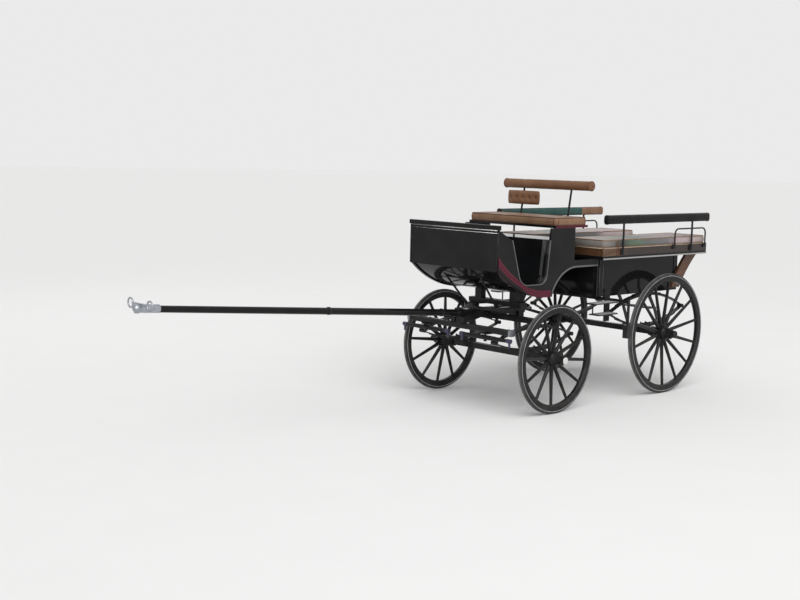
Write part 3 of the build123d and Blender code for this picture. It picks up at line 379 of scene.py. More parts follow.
madeFinishes = (
    makeBlack("coachBlack"),
    makeBlack("rimmedBlack", bands["rim"]),
    makeBlack("mouldedBlack", bands["moulding"]),
    makeBlack("treeBlack", bands["treeFerrule"]),
    makeBlack("seatBoardBlack", bands["seatEdge"]),
    # Grey lacquer for the beads round the entry and on the pillar: painted highlight
    makeLacquer("rimGrey", (0.085, 0.085, 0.09), (0.12, 0.12, 0.125), (0.24, 0.235, 0.23)),
    makeWheelBlack("wheelBlack"),
    makeWheelBlack("cappedBlack", bands["hubCap"]),
    makeWheelBlack("barBlack", bands["barFerrule"]),
    makeLacquer("bordeaux", (0.070, 0.009, 0.020), (0.098, 0.014, 0.030), (0.20, 0.09, 0.10), dustAmount=0.12,
                rough=0.2),
    makeIron("gearBlack", (0.010, 0.010, 0.011), (0.26, 0.25, 0.245)),
    # Worn steel: bare on the step treads, and light on the tyre channel rings as painted highlight
    makeIron("wornAndHighlitSteel", (0.24, 0.24, 0.25), (0.55, 0.55, 0.56), rough=0.36, dustAmount=0.15, wear=0.9),
    makeVarnish("apronVarnish", (0.055, 0.026, 0.013), (0.125, 0.064, 0.032), (0.26, 0.15, 0.085), apronTones),
    makeVarnish("kneeVarnish", (0.050, 0.020, 0.008), (0.125, 0.050, 0.018), (0.27, 0.14, 0.07)),
    makeHide("tanHide", (0.165, 0.088, 0.050), (0.235, 0.135, 0.080), (0.38, 0.26, 0.17)),
    makeHide("saddleHide", (0.14, 0.066, 0.033), (0.20, 0.10, 0.052), (0.34, 0.21, 0.13)),
    makeHide("darkTanHide", (0.085, 0.038, 0.022), (0.12, 0.056, 0.034), (0.26, 0.15, 0.095)),
    # Cream hide for the bead along the apron's top: painted highlight
    makeHide("highlightCreamHide", (0.34, 0.27, 0.20), (0.43, 0.35, 0.265), (0.58, 0.50, 0.41), 0.32),
    makeHide("blackHide", (0.007, 0.007, 0.0075), (0.012, 0.012, 0.013), (0.07, 0.066, 0.062), 0.36, 0.1),
    makeHide("tealHide", (0.020, 0.062, 0.055), (0.034, 0.088, 0.078), (0.10, 0.16, 0.15), 0.36),
    makeCloth("waxThread", (0.34, 0.25, 0.16), (0.46, 0.35, 0.24), 900.0),
    makeCloth("matRubber", (0.012, 0.012, 0.013), (0.022, 0.022, 0.023), 150.0),
    makeCloth("footCarpet", (0.012, 0.060, 0.044), (0.026, 0.092, 0.070), 260.0),
    makeBenchCloth(),
    makeBrightMetal("nickel", (0.82, 0.81, 0.79), 0.16),
    makeBrightMetal("dullSteel", (0.42, 0.44, 0.48), 0.34),
    makeRubber(),
)
finishes = {finish.name: finish for finish in madeFinishes}

nodeFinish = {
    "coachBlack": ["footboard", "dash", "seat_box", "cut_under", "tub_floor", "tub_sides", "rear_panels", "rear_door",
                   "pole"],
    "seatBoardBlack": ["driver_bench"],
    "rimmedBlack": ["front_sides"],
    "mouldedBlack": ["bench_frames"],
    "treeBlack": ["swingletree_left", "swingletree_right"],
    "bordeaux": ["sill_bands"],
    "wheelBlack": ["wheel_rear_left", "wheel_rear_right", "futchells", "front_axle", "rear_axle"],
    "cappedBlack": ["wheel_front_left", "wheel_front_right"],
    "barBlack": ["splinter_bar"],
    "gearBlack": ["top_bolster", "lower_ring", "body_stays", "front_springs", "rear_springs", "side_steps",
                  "brake_gear", "rear_step", "whip_socket", "rail_irons"],
    "apronVarnish": ["benches"],
    "kneeVarnish": ["rear_knees"],
    "greyRubber": ["tyre_front_left", "tyre_front_right", "tyre_rear_left", "tyre_rear_right"],
    "dullSteel": ["pole_head"],
    "tanHide": ["driver_cushion"],
    "saddleHide": ["backrest_roll", "lumbar_pad"],
    "blackHide": ["side_rolls"],
    "benchCloth": ["side_cushions"],
}
for finishName, nodeNames in nodeFinish.items():
    for nodeName in nodeNames:
        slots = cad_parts[nodeName].data.materials
        slots.clear()
        slots.append(finishes[finishName])
print("finishes on the coachbuilt parts")


# Mesh helpers: every piece ends as its own object, riding on a body
def addObject(name, data):
    thing = bpy.data.objects.new(name, data)
    bpy.context.scene.collection.objects.link(thing)
    return thing


def newPiece(name, points, faces, finishNames, rider, kinds=None):
    mesh = bpy.data.meshes.new(name)
    mesh.from_pydata([tuple(p) for p in points], [], faces)
    for finishName in finishNames:
        mesh.materials.append(finishes[finishName])
    mesh.polygons.foreach_set("material_index", kinds or [0] * len(mesh.polygons))
    mesh.polygons.foreach_set("use_smooth", [True] * len(mesh.polygons))
    mesh.update()
    piece = addObject(name, mesh)
    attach(piece, rider)
    return piece


def mirrorPiece(piece, name):
    mesh = piece.data.copy()
    mesh.name = name
    for vertex in mesh.vertices:
        vertex.co.y = -vertex.co.y
    mesh.flip_normals()
    twin = addObject(name, mesh)
    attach(twin, body)
    return twin


def modify(piece, kind, **settings):
    modifier = piece.modifiers.new(kind.lower(), kind)
    setAll(modifier, settings)
    depsgraph = bpy.context.evaluated_depsgraph_get()
    mesh = bpy.data.meshes.new_from_object(piece.evaluated_get(depsgraph))
    piece.modifiers.remove(modifier)
    old, piece.data = piece.data, mesh
    bpy.data.meshes.remove(old)


# Faces between neighbouring rings of points, and the two that close an open run of them
def ringFaces(count, sides, closed=False):
    faces = []
    for i in range(count if closed else count - 1):
        here, there = i * sides, (i + 1) % count * sides
        faces += [(here + k, here + (k + 1) % sides, there + (k + 1) % sides, there + k) for k in range(sides)]
    return faces


def capFaces(count, sides):
    return [tuple(reversed(range(sides))), tuple(range((count - 1) * sides, count * sides))]


# Faces of a closed shell between two sheets of points, the second listed after the first, and its border
def shellFaces(rows, columns, firstOut):
    row = columns + 1
    sheet = (rows + 1) * row
    border = ([i * row for i in range(rows + 1)] + [rows * row + k for k in range(1, row)]
              + [i * row + columns for i in range(rows - 1, -1, -1)] + list(range(columns - 1, 0, -1)))
    faces, (p, q) = [], (row, 1) if firstOut else (1, row)
    for a in (i * row + k for i in range(rows) for k in range(columns)):
        b = sheet + a
        faces += [(a, a + p, a + row + 1, a + q), (b, b + q, b + row + 1, b + p)]
    for first, second in zip(border, border[1:] + border[:1]):
        if firstOut:
            first, second = second, first
        faces.append((first, second, sheet + second, sheet + first))
    return faces, border, sheet


class Bag:
    def __init__(self):
        self.points, self.faces, self.kinds = [], [], []

    def add(self, points, faces, kind=0):
        start = len(self.points)
        self.points += points
        self.faces += [tuple(start + i for i in face) for face in faces]
        self.kinds += [kind] * len(faces)

    def tube(self, path, radius, sides=8, closed=False, kind=0):
        count = len(path)
        normal, points = None, []
        for index, point in enumerate(path):
            ahead = path[(index + 1) % count] if closed or index < count - 1 else point
            behind = path[index - 1] if closed or index > 0 else point
            along = (ahead - behind).normalized()
            if normal is None:
                normal = along.orthogonal().normalized()
            normal = (normal - along * normal.dot(along)).normalized()
            across = along.cross(normal)
            points += [point + (normal * math.cos(a) + across * math.sin(a)) * radius for a in turns(sides)]
        self.add(points, ringFaces(count, sides, closed) + ([] if closed else capFaces(count, sides)), kind)

    # A solid strip through rings of four points, its faces turned outwards
    def ribbon(self, rings):
        points = [point for ring in rings for point in ring]
        faces = capFaces(len(rings), 4) + ringFaces(len(rings), 4)
        middle = sum(points, Vector()) / len(points)
        volume = sum((points[f[0]] - middle).dot((points[f[1]] - middle).cross(points[f[2]] - middle)) for f in faces)
        self.add(points, faces if volume > 0 else [tuple(reversed(face)) for face in faces])

    # A domed head, or a chamfered nut where it has six sides
    def dome(self, place, normal, radius, height, sides):
        normal = Vector(normal).normalized()
        side = normal.orthogonal().normalized()
        across = normal.cross(side)
        profile = ((1.0, 0.0), (1.0, 0.75), (0.82, 1.0)) if sides == 6 else ((1.0, 0.0), (0.92, 0.5), (0.6, 0.88))
        points = [place + (side * math.cos(a) + across * math.sin(a)) * radius * share + normal * height * rise
                  for share, rise in profile for a in turns(sides)]
        last, tip = (len(profile) - 1) * sides, len(points)
        faces = ringFaces(len(profile), sides) + [(last + k, last + (k + 1) % sides, tip) for k in range(sides)]
        self.add(points + [place + normal * height], faces + [tuple(reversed(range(sides)))])

    def bar(self, low, high, edge):
        mesh = bmesh.new()
        bmesh.ops.create_cube(mesh, size=1.0)
        middle, size = (low + high) / 2, high - low
        for vertex in mesh.verts:
            vertex.co = middle + vertex.co * size
        bmesh.ops.bevel(mesh, geom=mesh.edges[:], offset=edge, segments=2, affect="EDGES", profile=0.6)
        mesh.verts.index_update()
        self.add([v.co.copy() for v in mesh.verts], [tuple(v.index for v in f.verts) for f in mesh.faces])
        mesh.free()

    def piece(self, name, finishNames, rider, slotName):
        return newPiece(name, self.points, self.faces, finishNames, rider, self.kinds)


sharpAngle = 0.7  # edges that turn more than this stay crisp


def crispEdges(piece):
    mesh = bmesh.new()
    mesh.from_mesh(piece.data)
    for edge in mesh.edges:
        edge.smooth = len(edge.link_faces) < 2 or edge.calc_face_angle(0.0) < sharpAngle
    mesh.to_mesh(piece.data)
    mesh.free()


# Stuffed pads: the seams stay where they are sewn and the panels between them swell
stuffing = {
    "frames": 20, "sideBulge": 0.007, "grooveWidth": 0.011, "grooveDepth": 0.009, "seamStep": 0.012, "cloth": {
        "quality": 5, "mass": 0.4, "tension_stiffness": 14, "compression_stiffness": 14, "shear_stiffness": 8,
        "bending_stiffness": 2.5, "use_pressure": True, "uniform_pressure_force": 4.0, "vertex_group_mass": "sewn"},
}


def roundedLoop(low, high, radius, height):
    arcs = []
    for x, y, start in ((high.x - radius, high.y - radius, 0), (low.x + radius, high.y - radius, 90),
                        (low.x + radius, low.y + radius, 180), (high.x - radius, low.y + radius, 270)):
        angles = [math.radians(start + t) for t in range(0, 91, 15)]
        arcs.append([Vector((x + radius * math.cos(a), y + radius * math.sin(a), height)) for a in angles])
    loop = []
    for arc, following in zip(arcs, arcs[1:] + arcs[:1]):
        count = max(1, int((following[0] - arc[-1]).length / stuffing["seamStep"]))
        loop += arc + [arc[-1].lerp(following[0], k / count) for k in range(1, count)]
    return loop


def swell(piece, low, high, most, bottom, pinned):
    mesh = piece.data
    middle, half = (low + high) / 2, (high - low) / 2
    group = piece.vertex_groups.new(name="sewn")
    group.add([v.index for v in mesh.vertices if pinned(v.co)], 1.0, "REPLACE")
    cloth = piece.modifiers.new("stuffing", "CLOTH")
    setAll(cloth.settings, stuffing["cloth"])
    cloth.settings.effector_weights.gravity = 0.0
    cloth.point_cache.frame_start, cloth.point_cache.frame_end = 1, stuffing["frames"]
    for number in range(1, stuffing["frames"] + 1):
        bpy.context.scene.frame_set(number)
    swollen = piece.evaluated_get(bpy.context.evaluated_depsgraph_get())
    after = [v.co.copy() for v in swollen.to_mesh().vertices]
    swollen.to_mesh_clear()
    piece.modifiers.remove(cloth)
    bpy.context.scene.frame_set(1)
    for vertex, place in zip(mesh.vertices, after):
        moved = place - vertex.co
        if moved.length > most:
            moved *= most / moved.length
        vertex.co += moved
    for vertex in mesh.vertices:
        level = min(1.0, abs(vertex.co.z - middle.z) / half.z)
        for axis in (0, 1):
            away = vertex.co[axis] - middle[axis]
            bulge = stuffing["sideBulge"] * (1 - level ** 2) * min(1.0, abs(away) / half[axis]) ** 8
            vertex.co[axis] += math.copysign(bulge, away)
        vertex.co.z = max(vertex.co.z, bottom)
    piece.vertex_groups.clear()


def stuffedPad(name, finishName, settings):
    inset, crown, near = settings["inset"], settings["swell"], settings["voxel"] * 1.1
    start, end = settings["low"] + Vector(inset), settings["high"] - Vector(inset[:2] + (crown * 0.9,))
    shell = bmesh.new()
    bmesh.ops.create_cube(shell, size=1.0)
    middle, size = (start + end) / 2, end - start
    for vertex in shell.verts:
        vertex.co = middle + vertex.co * size
    upright = [e for e in shell.edges if abs(e.verts[0].co.z - e.verts[1].co.z) > 0.01]
    bmesh.ops.bevel(shell, geom=upright, offset=settings["corner"], segments=5, affect="EDGES", profile=0.5)
    shell.verts.index_update()
    points = [v.co.copy() for v in shell.verts]
    pad = newPiece(name, points, [tuple(v.index for v in f.verts) for f in shell.faces], [finishName], body)
    shell.free()
    modify(pad, "REMESH", mode="VOXEL", voxel_size=settings["voxel"], adaptivity=0.0)

    def pinned(point):
        side = min(point.x - start.x, end.x - point.x, point.y - start.y, end.y - point.y) < near
        return side and (point.z > end.z - near or point.z < start.z + near)

    swell(pad, start, end, crown, settings["low"].z, pinned)
    for seam in settings["seams"]:
        for vertex in pad.data.vertices:
            close = (vertex.co.x - seam) / stuffing["grooveWidth"]
            rise = (vertex.co.z - start.z) / (end.z - start.z)
            if abs(close) < 3 and rise > 0.3:
                vertex.co.z -= stuffing["grooveDepth"] * math.exp(-close * close) * min(1.0, rise)
    modify(pad, "SUBSURF", levels=1, render_levels=1)
    pad.data.polygons.foreach_set("use_smooth", [True] * len(pad.data.polygons))
    return pad, [roundedLoop(start, end, settings["corner"], height) for height in (end.z, start.z + 0.004)]


def cornerSeams(low, high, radius, bottom, top):
    seams = []
    for x0 in (low.x, high.x):
        for y0 in (low.y, high.y):
            inX, inY = [math.copysign(radius, a + b - 2 * c) for a, b, c in zip(low, high, (x0, y0))]
            for x, y in ((x0 + inX, y0), (x0, y0 + inY)):
                seams.append([Vector((x, y, bottom + (top - bottom) * k / 8)) for k in range(9)])
    return seams


def snapOut(points, piece, offset):
    tree = BVHTree.FromPolygons([v.co for v in piece.data.vertices], [tuple(p.vertices) for p in piece.data.polygons])
    nearest = [tree.find_nearest(point) for point in points]
    return [place + normal * offset for place, normal, _, _ in nearest]


# Pitch, length and radius of the stitches
fineStitch = (0.009, 0.0055, 0.0008)
benchStitch = (0.010, 0.006, 0.0009)


def stitchLine(bag, path, stitch):
    pitch, length, radius = stitch
    carried = 0.0
    for first, second in zip(path, path[1:]):
        span = (second - first).length
        along = (second - first).normalized() if span > 0 else Vector((1, 0, 0))
        while carried < span:
            middle = first + along * carried
            bag.tube([middle - along * length / 2, middle, middle + along * length / 2], radius, 5)
            carried += pitch
        carried -= span


# The cushion of the front seat, in tan hide with a bound edge
driverSeat = {
    "low": at(206, -496, 1525.5), "high": at(606, 496, 1601.5), "inset": (0.007, 0.007, 0.0), "corner": 0.022,
    "swell": 0.016, "voxel": 0.0065, "fill": 0.75, "seams": (), "pipe": 0.0042, "stitchRows": (-0.011, 0.013),
}


def makeDriverPad():
    pad, edges = stuffedPad("driverPad", "tanHide", driverSeat)
    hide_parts("driver_cushion")
    low, high = driverSeat["low"] + Vector(driverSeat["inset"]), driverSeat["high"] - Vector(driverSeat["inset"])
    piping, threads = Bag(), Bag()
    for loop in edges:
        piping.tube(snapOut(loop, pad, 0.002), driverSeat["pipe"], closed=True)
    for seam in cornerSeams(low, high, driverSeat["corner"], edges[1][0].z, edges[0][0].z):
        piping.tube(snapOut(seam, pad, 0.0012), driverSeat["pipe"] * 0.75)
    for edge, shift in zip(edges, driverSeat["stitchRows"]):
        loop = roundedLoop(low, high, driverSeat["corner"], edge[0].z + shift)
        stitchLine(threads, snapOut(loop + loop[:1], pad, 0.0004), fineStitch)
    piping.piece("driverPadPiping", ["darkTanHide"], body, "tan_leather")
    threads.piece("driverPadStitches", ["waxThread"], body, "tan_leather")


makeDriverPad()
print("front cushion stuffed")

# The buttoned pad of the front seat's back
backPad = {
    "low": at(176, -425, 1668), "high": at(219, -50, 1790), "inset": (0.004, 0.005, 0.004), "swell": 0.010,
    "fill": 0.8, "buttons": 5, "across": 44, "up": 20, "back": 0.012, "edge": 0.007, "pipe": 0.0038,
    "buttonDepth": 0.013, "buttonReach": 0.016, "foldDepth": 0.003, "foldReach": 0.006, "buttonRadius": 0.0075,
}


def makeBackPad():
    low, high = backPad["low"] + Vector(backPad["inset"]), backPad["high"] - Vector(backPad["inset"])
    middle, half = (low + high) / 2, (high - low) / 2
    buttons = [low.y + 2 * half.y * (number + 0.5) / backPad["buttons"] for number in range(backPad["buttons"])]
    points = []
    for front in (True, False):
        for i in range(backPad["across"] + 1):
            for k in range(backPad["up"] + 1):
                u, v = i / backPad["across"] * 2 - 1, k / backPad["up"] * 2 - 1
                square = max(0.0, (1 - abs(u) ** 5) * (1 - abs(v) ** 4))
                pull = 1 - 0.035 * (abs(u) ** 3) * (abs(v) ** 3)
                y, z = middle.y + half.y * u * pull, middle.z + half.z * v * pull
                depth = -0.006 * square
                if front:
                    depth = backPad["edge"] + backPad["swell"] * 1.5 * square ** 0.6
                    for button in buttons:
                        near = math.hypot(y - button, z - middle.z)
                        depth -= backPad["buttonDepth"] * math.exp(-(near / backPad["buttonReach"]) ** 2)
                        fold = math.exp(-((y - button) / backPad["foldReach"]) ** 2)
                        depth -= backPad["foldDepth"] * fold * square
                points.append(Vector((low.x + backPad["back"] + depth, y, z)))
    faces, border, sheet = shellFaces(backPad["across"], backPad["up"], True)
    pad = newPiece("lumbarPad", points, faces, ["saddleHide"], body)
    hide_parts("lumbar_pad")
    trim, studs = Bag(), Bag()
    trim.tube([points[i].lerp(points[sheet + i], 0.5) for i in border], backPad["pipe"], closed=True)
    trim.piece("lumbarPadPiping", ["darkTanHide"], body, "tan_leather")
    for button in buttons:
        studs.dome(Vector((low.x + 0.0205, button, middle.z)), (1, 0, 0), backPad["buttonRadius"], 0.005, 14)
    studs.piece("lumbarPadButtons", ["darkTanHide"], body, "tan_leather")


makeBackPad()


# Places along a roll, each with its share of the full girth, rounded off at both ends
def rollStations(start, end, nose, steps, least, count):
    quarter = [k / steps * math.pi / 2 for k in range(steps)]
    first = [(start + nose - nose * math.cos(t), least + (1 - least) * math.sin(t)) for t in quarter]
    middle = [(start + nose + (end - start - 2 * nose) * k / count, 1.0) for k in range(count + 1)]
    return first + middle + [(start + end - place, share) for place, share in reversed(first)]


# The roll of the front seat's back, sewn along its rear, with gathered ends
backRoll = {
    "centre": at(150, 0, 1850), "radius": 0.0415, "half": 0.498, "nose": 0.016, "stations": 90, "sides": 48,
    "puckers": 14, "irons": 0.27, "fill": 0.9, "waist": 0.045, "belly": 0.012, "pleat": 0.05, "seam": 0.05,
    "flat": 0.985, "trim": 0.003, "stitches": 60,
}


def makeBackRoll():
    centre, half, radius, sides = [backRoll[label] for label in ("centre", "half", "radius", "sides")]
    inner = half - backRoll["nose"]
    stations = rollStations(-half, half, backRoll["nose"], 7, 0.12, backRoll["stations"])
    points = []
    for y, share in stations:
        waist = 1 - backRoll["waist"] * math.exp(-((abs(y) - backRoll["irons"]) / 0.016) ** 2)
        belly = 1 - backRoll["belly"] * math.cos(y / inner * math.pi * 3) ** 2
        for angle in turns(sides):
            gathers = 0.5 + 0.5 * math.cos(angle * backRoll["puckers"])
            pleat = 1 - backRoll["pleat"] * (1 - share) * gathers
            seam = 1 - backRoll["seam"] * math.exp(-((angle - math.pi) / 0.10) ** 2) if share > 0.9 else 1
            r = radius * share * waist * belly * pleat * seam
            points.append(centre + Vector((math.cos(angle) * r, y, math.sin(angle) * r * backRoll["flat"])))
    faces = ringFaces(len(stations), sides) + capFaces(len(stations), sides)
    roll = newPiece("backRoll", points, faces, ["saddleHide"], body)
    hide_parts("backrest_roll")
    trim, seams = Bag(), Bag()
    for hand in bothHands:
        place = centre + Vector((0, hand * (half - 0.012), 0))
        ring = [place + Vector((math.cos(a), 0, math.sin(a))) * radius * backRoll["flat"] for a in turns(40)]
        trim.tube(ring, backRoll["trim"], closed=True)
        trim.dome(centre + Vector((0, hand * (half - 0.002), 0)), (0, hand, 0), 0.011, 0.005, 16)
    trim.piece("backRollTrim", ["darkTanHide"], body, "tan_leather")
    line = [centre + Vector((-radius * 0.965, -inner + 2 * inner * k / backRoll["stitches"], 0.006))
            for k in range(backRoll["stitches"] + 1)]
    stitchLine(seams, line, fineStitch)
    seams.piece("backRollStitches", ["waxThread"], body, "tan_leather")


makeBackRoll()
print("back roll and lumbar pad made")

# The two bench cushions, sewn alike: three places each, bound in tan hide
benchSeat = {
    "low": at(-1390, 200, 1330.5), "high": at(120, 610, 1412.5), "inset": (0.007, 0.007, 0.0), "corner": 0.020,
    "swell": 0.017, "voxel": 0.0085, "fill": 0.7, "seams": (at(-383, 0, 0).x, at(-887, 0, 0).x), "pipe": 0.0045,
}


def makeBenchPads():
    left, edges = stuffedPad("benchPadLeft", "benchCloth", benchSeat)
    right = mirrorPiece(left, "benchPadRight")
    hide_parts("side_cushions")
    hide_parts("side_cushions")
    binding, threads = Bag(), Bag()
    for loop in edges:
        binding.tube(snapOut(loop, left, 0.0022), benchSeat["pipe"], closed=True)
    for seam in benchSeat["seams"]:
        over = [Vector((seam, y / 1000, benchSeat["high"].z)) for y in range(212, 600, 10)]
        for shift in (-0.004, 0.004):
            line = [p + Vector((shift, 0, 0)) for p in snapOut(over, left, 0.0006)]
            stitchLine(threads, line, benchStitch)
    leftTrim = binding.piece("benchPadLeftBinding", ["tanHide"], body, "tan_leather")
    leftThreads = threads.piece("benchPadLeftStitches", ["waxThread"], body, "tan_leather")
    mirrorPiece(leftTrim, "benchPadRightBinding")
    mirrorPiece(leftThreads, "benchPadRightStitches")


makeBenchPads()
print("bench cushions stuffed")

# Padded rolls along the benches: black outside, dark teal towards the seats, tan at the ends
sideRoll = {
    "x": (-1400, 110), "y": (591, 649), "z": (1532, 1610), "stations": 120, "sides": 40, "panels": 4, "nose": 13,
    "noseSteps": 6, "pipe": 0.0032, "tanEnd": 330, "power": 0.62, "fill": 0.85, "tealFrom": -0.25,
}


def makeSideRoll():
    (x0, x1), (y0, y1), (z0, z1) = sideRoll["x"], sideRoll["y"], sideRoll["z"]
    sides, panels, nose, ends = [sideRoll[label] for label in ("sides", "panels", "nose", "noseSteps")]
    halfY, halfZ = (y1 - y0) / 2 - 1.5, (z1 - z0) / 2 - 1.5
    stations = rollStations(x0, x1, nose, ends, 0.25, sideRoll["stations"])
    last = len(stations) - 1
    points, kinds = [], []
    for x, share in stations:
        place = (x - x0) / (x1 - x0) * panels
        seam = min(abs(place - round(place)), 0.5) * (x1 - x0) / panels
        waist = 1 - 0.035 * math.exp(-(seam / 9) ** 2) if 0.5 < place < panels - 0.5 else 1
        for angle in turns(sides):
            y, z = [math.copysign(abs(value) ** sideRoll["power"], value) * half * share * waist
                    for value, half in ((math.cos(angle), halfY), (math.sin(angle), halfZ))]
            points.append(at(x, (y0 + y1) / 2 + y, (z0 + z1) / 2 + z))
    for (x, _), (following, _) in zip(stations, stations[1:]):
        for k in range(sides):
            inside = math.cos(2 * math.pi * (k + 0.5) / sides) < sideRoll["tealFrom"] and following <= x1 - nose
            tan = x < x0 + nose or inside and x < x0 + sideRoll["tanEnd"]
            kinds.append(2 if tan else 1 if inside else 0)
    faces = [tuple(reversed(face)) for face in ringFaces(last + 1, sides) + capFaces(last + 1, sides)]
    finishNames = ["blackHide", "tealHide", "tanHide"]
    roll = newPiece("sideRollLeft", points, faces, finishNames, body, kinds + [2, 0])
    trim = Bag()
    for kind, station in enumerate((ends, last - ends)):
        trim.tube(points[station * sides:(station + 1) * sides], sideRoll["pipe"], closed=True, kind=kind)
    for k, angle in enumerate(turns(sides)):
        if abs(math.cos(angle) - sideRoll["tealFrom"]) < 0.09:
            line = [points[i * sides + k] for i in range(ends, last - ends + 1)]
            trim.tube(line, sideRoll["pipe"] * 0.8, kind=1)
    binding = trim.piece("sideRollLeftPiping", ["tanHide", "blackHide"], body, "black_leather")
    twin = mirrorPiece(roll, "sideRollRight")
    mirrorPiece(binding, "sideRollRightPiping")
    for padded in (roll, twin):
        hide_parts("side_rolls")


makeSideRoll()
print("side rolls made")

# Carpet in the front footwell, bound round its edge
carpet = {
    "rear": 668, "front": 1286, "half": 470, "thick": 0.006, "lift": 0.0015, "sweepStart": 700, "floor": 970,
    "sweep": 838.05, "steps": 60, "across": 24, "binding": 0.0034,
}


def makeCarpet():
    points = []
    for top in (False, True):
        for i in range(carpet["steps"] + 1):
            share = i / carpet["steps"]
            x = carpet["rear"] + (carpet["front"] - carpet["rear"]) * share
            reach = max(0, x - carpet["sweepStart"])
            z = carpet["floor"] + carpet["sweep"] - math.sqrt(carpet["sweep"] ** 2 - reach ** 2)
            slope = math.atan2(reach, carpet["sweep"])
            for k in range(carpet["across"] + 1):
                v = k / carpet["across"] * 2 - 1
                edge = 1 - max(abs(share * 2 - 1) ** 30, abs(v) ** 30)
                lift = carpet["thick"] * (0.45 + 0.55 * edge) if top else carpet["lift"]
                normal = Vector((-math.sin(slope), 0, math.cos(slope)))
                points.append(at(x, carpet["half"] * v, z) + normal * lift)
    faces, border, sheet = shellFaces(carpet["steps"], carpet["across"], False)
    newPiece("footCarpet", points, faces, ["footCarpet"], body)
    binding = Bag()
    binding.tube([points[sheet + i] - Vector((0, 0, 0.0018)) for i in border], carpet["binding"], 6, closed=True)
    binding.piece("footCarpetBinding", ["blackHide"], body, "black_leather")


makeCarpet()

# Ribbed rubber mat down the aisle
aisleMat = {"x": (-1085, 35), "half": 150, "floor": 920, "pitch": 12, "edge": 8, "ribHalf": 3, "top": 6.5}
bag = Bag()
(x0, x1), half, floorZ = aisleMat["x"], aisleMat["half"], aisleMat["floor"]
bag.bar(at(x0, -half, floorZ + 0.4), at(x1, half, floorZ + 4), 0.001)
for y in range(aisleMat["pitch"] - half, half, aisleMat["pitch"]):
    bag.bar(at(x0 + aisleMat["edge"], y - aisleMat["ribHalf"], floorZ + 3),
            at(x1 - aisleMat["edge"], y + aisleMat["ribHalf"], floorZ + aisleMat["top"]), 0.0012)
bag.piece("aisleMat", ["matRubber"], body, "tyre_rubber")

# Raised ribs on the treads of the steps, and a nosing along the outer edge of the side ones
treads = {
    "side": ((-122, 192, 508, 604, 860), (-122, 132, 508, 604, 762)),
    "rear": ((-1370, -1270, 450), (-1265, -1165, 690)),
    "ribs": 7, "sideMargin": 8, "noseMargin": 14, "ribHalf": 2.6, "sunk": 0.5, "proud": 2.2, "edge": 0.0011,
    "rearHalf": 180, "nosing": {"out": 0.5, "half": 1.1, "end": 2, "below": 5, "above": 2.4, "edge": 0.0008},
}
bag = Bag()
ribHalf, nosing, margin = treads["ribHalf"], treads["nosing"], treads["sideMargin"]
shares = [number / (treads["ribs"] - 1) for number in range(treads["ribs"])]
for x0, x1, y0, y1, top in treads["side"]:
    for hand in bothHands:
        for share in shares:
            y = hand * (y0 + margin + (y1 - y0 - 2 * margin) * share)
            bag.bar(at(x0 + margin, y - ribHalf, top - treads["sunk"]),
                    at(x1 - treads["noseMargin"], y + ribHalf, top + treads["proud"]), treads["edge"])
        y = hand * (y1 + nosing["out"])
        bag.bar(at(x0 + nosing["end"], y - nosing["half"], top - nosing["below"]),
                at(x1 - nosing["end"], y + nosing["half"], top + nosing["above"]), nosing["edge"])
for x0, x1, top in treads["rear"]:
    for share in shares:
        x = x0 + treads["noseMargin"] + (x1 - x0 - 2 * treads["noseMargin"]) * share
        bag.bar(at(x - ribHalf, -treads["rearHalf"], top - treads["sunk"]),
                at(x + ribHalf, treads["rearHalf"], top + treads["proud"]), treads["edge"])
bag.piece("treadRibs", ["wornAndHighlitSteel"], body, "steel")
print("carpet, mat and treads laid")

# Bright and black beads along the panels: each line has its radius and the places it runs through
beads = {
    # The cream bead along the top of the apron is painted highlight on its edge
    "apronHighlightBead": {"finish": "highlightCreamHide", "slot": "tan_leather", "hands": bothHands, "sides": 8, "lines": (
        (0.0032, [(x, 620.5, 1329) for x in (-1396, -700, 126)]),
        (0.0032, [(130.5, y, 1329) for y in (204, 410, 616)]))},
    "dashBeads": {"finish": "nickel", "slot": "steel", "hands": (1,), "sides": 8, "lines": (
        (0.0032, [(1311, y, 1503) for y in (-497, 0, 497)]), (0.0022, [(1311, y, 1481) for y in (-497, 0, 497)]))},
    "cornerBeads": {"finish": "coachBlack", "slot": "black_lacquer", "hands": bothHands, "sides": 10, "lines": (
        (0.0065, [(1309, 500.5, z) for z in (1180, 1340, 1503)]),)},
}
for name, bead in beads.items():
    bag = Bag()
    for hand in bead["hands"]:
        for radius, places in bead["lines"]:
            bag.tube([at(x, hand * y, z) for x, y, z in places], radius, bead["sides"])
    bag.piece(name, [bead["finish"]], body, bead["slot"])

# A raised bead follows the edge of the entry, and thin ones the pillar in front of the tub; their grey is painted
# highlight on those edges
entry = {
    "top": (1140, 1420), "foot": (1050, 1130), "front": (930, 1045), "sill": (860, 1045), "rear": (790, 1045),
    "rearFoot": (700, 1130), "seat": (670, 1408), "bead": 0.0052, "outset": 4.0, "lining": 5.0,
    "liningY": (499.4, 415), "pillar": (-28, 21), "pillarBead": 0.0024,
}


def tangentArc(start, end, along, steps=14):
    start, end, along = Vector(start), Vector(end), Vector(along).normalized()
    normal = Vector((-along.y, along.x))
    chord = end - start
    centre = start + normal * chord.length_squared / (2 * chord.dot(normal))
    first = start - centre
    turn = first.angle_signed(end - centre)
    return [centre + Matrix.Rotation(-turn * k / steps, 2) @ first for k in range(steps + 1)]


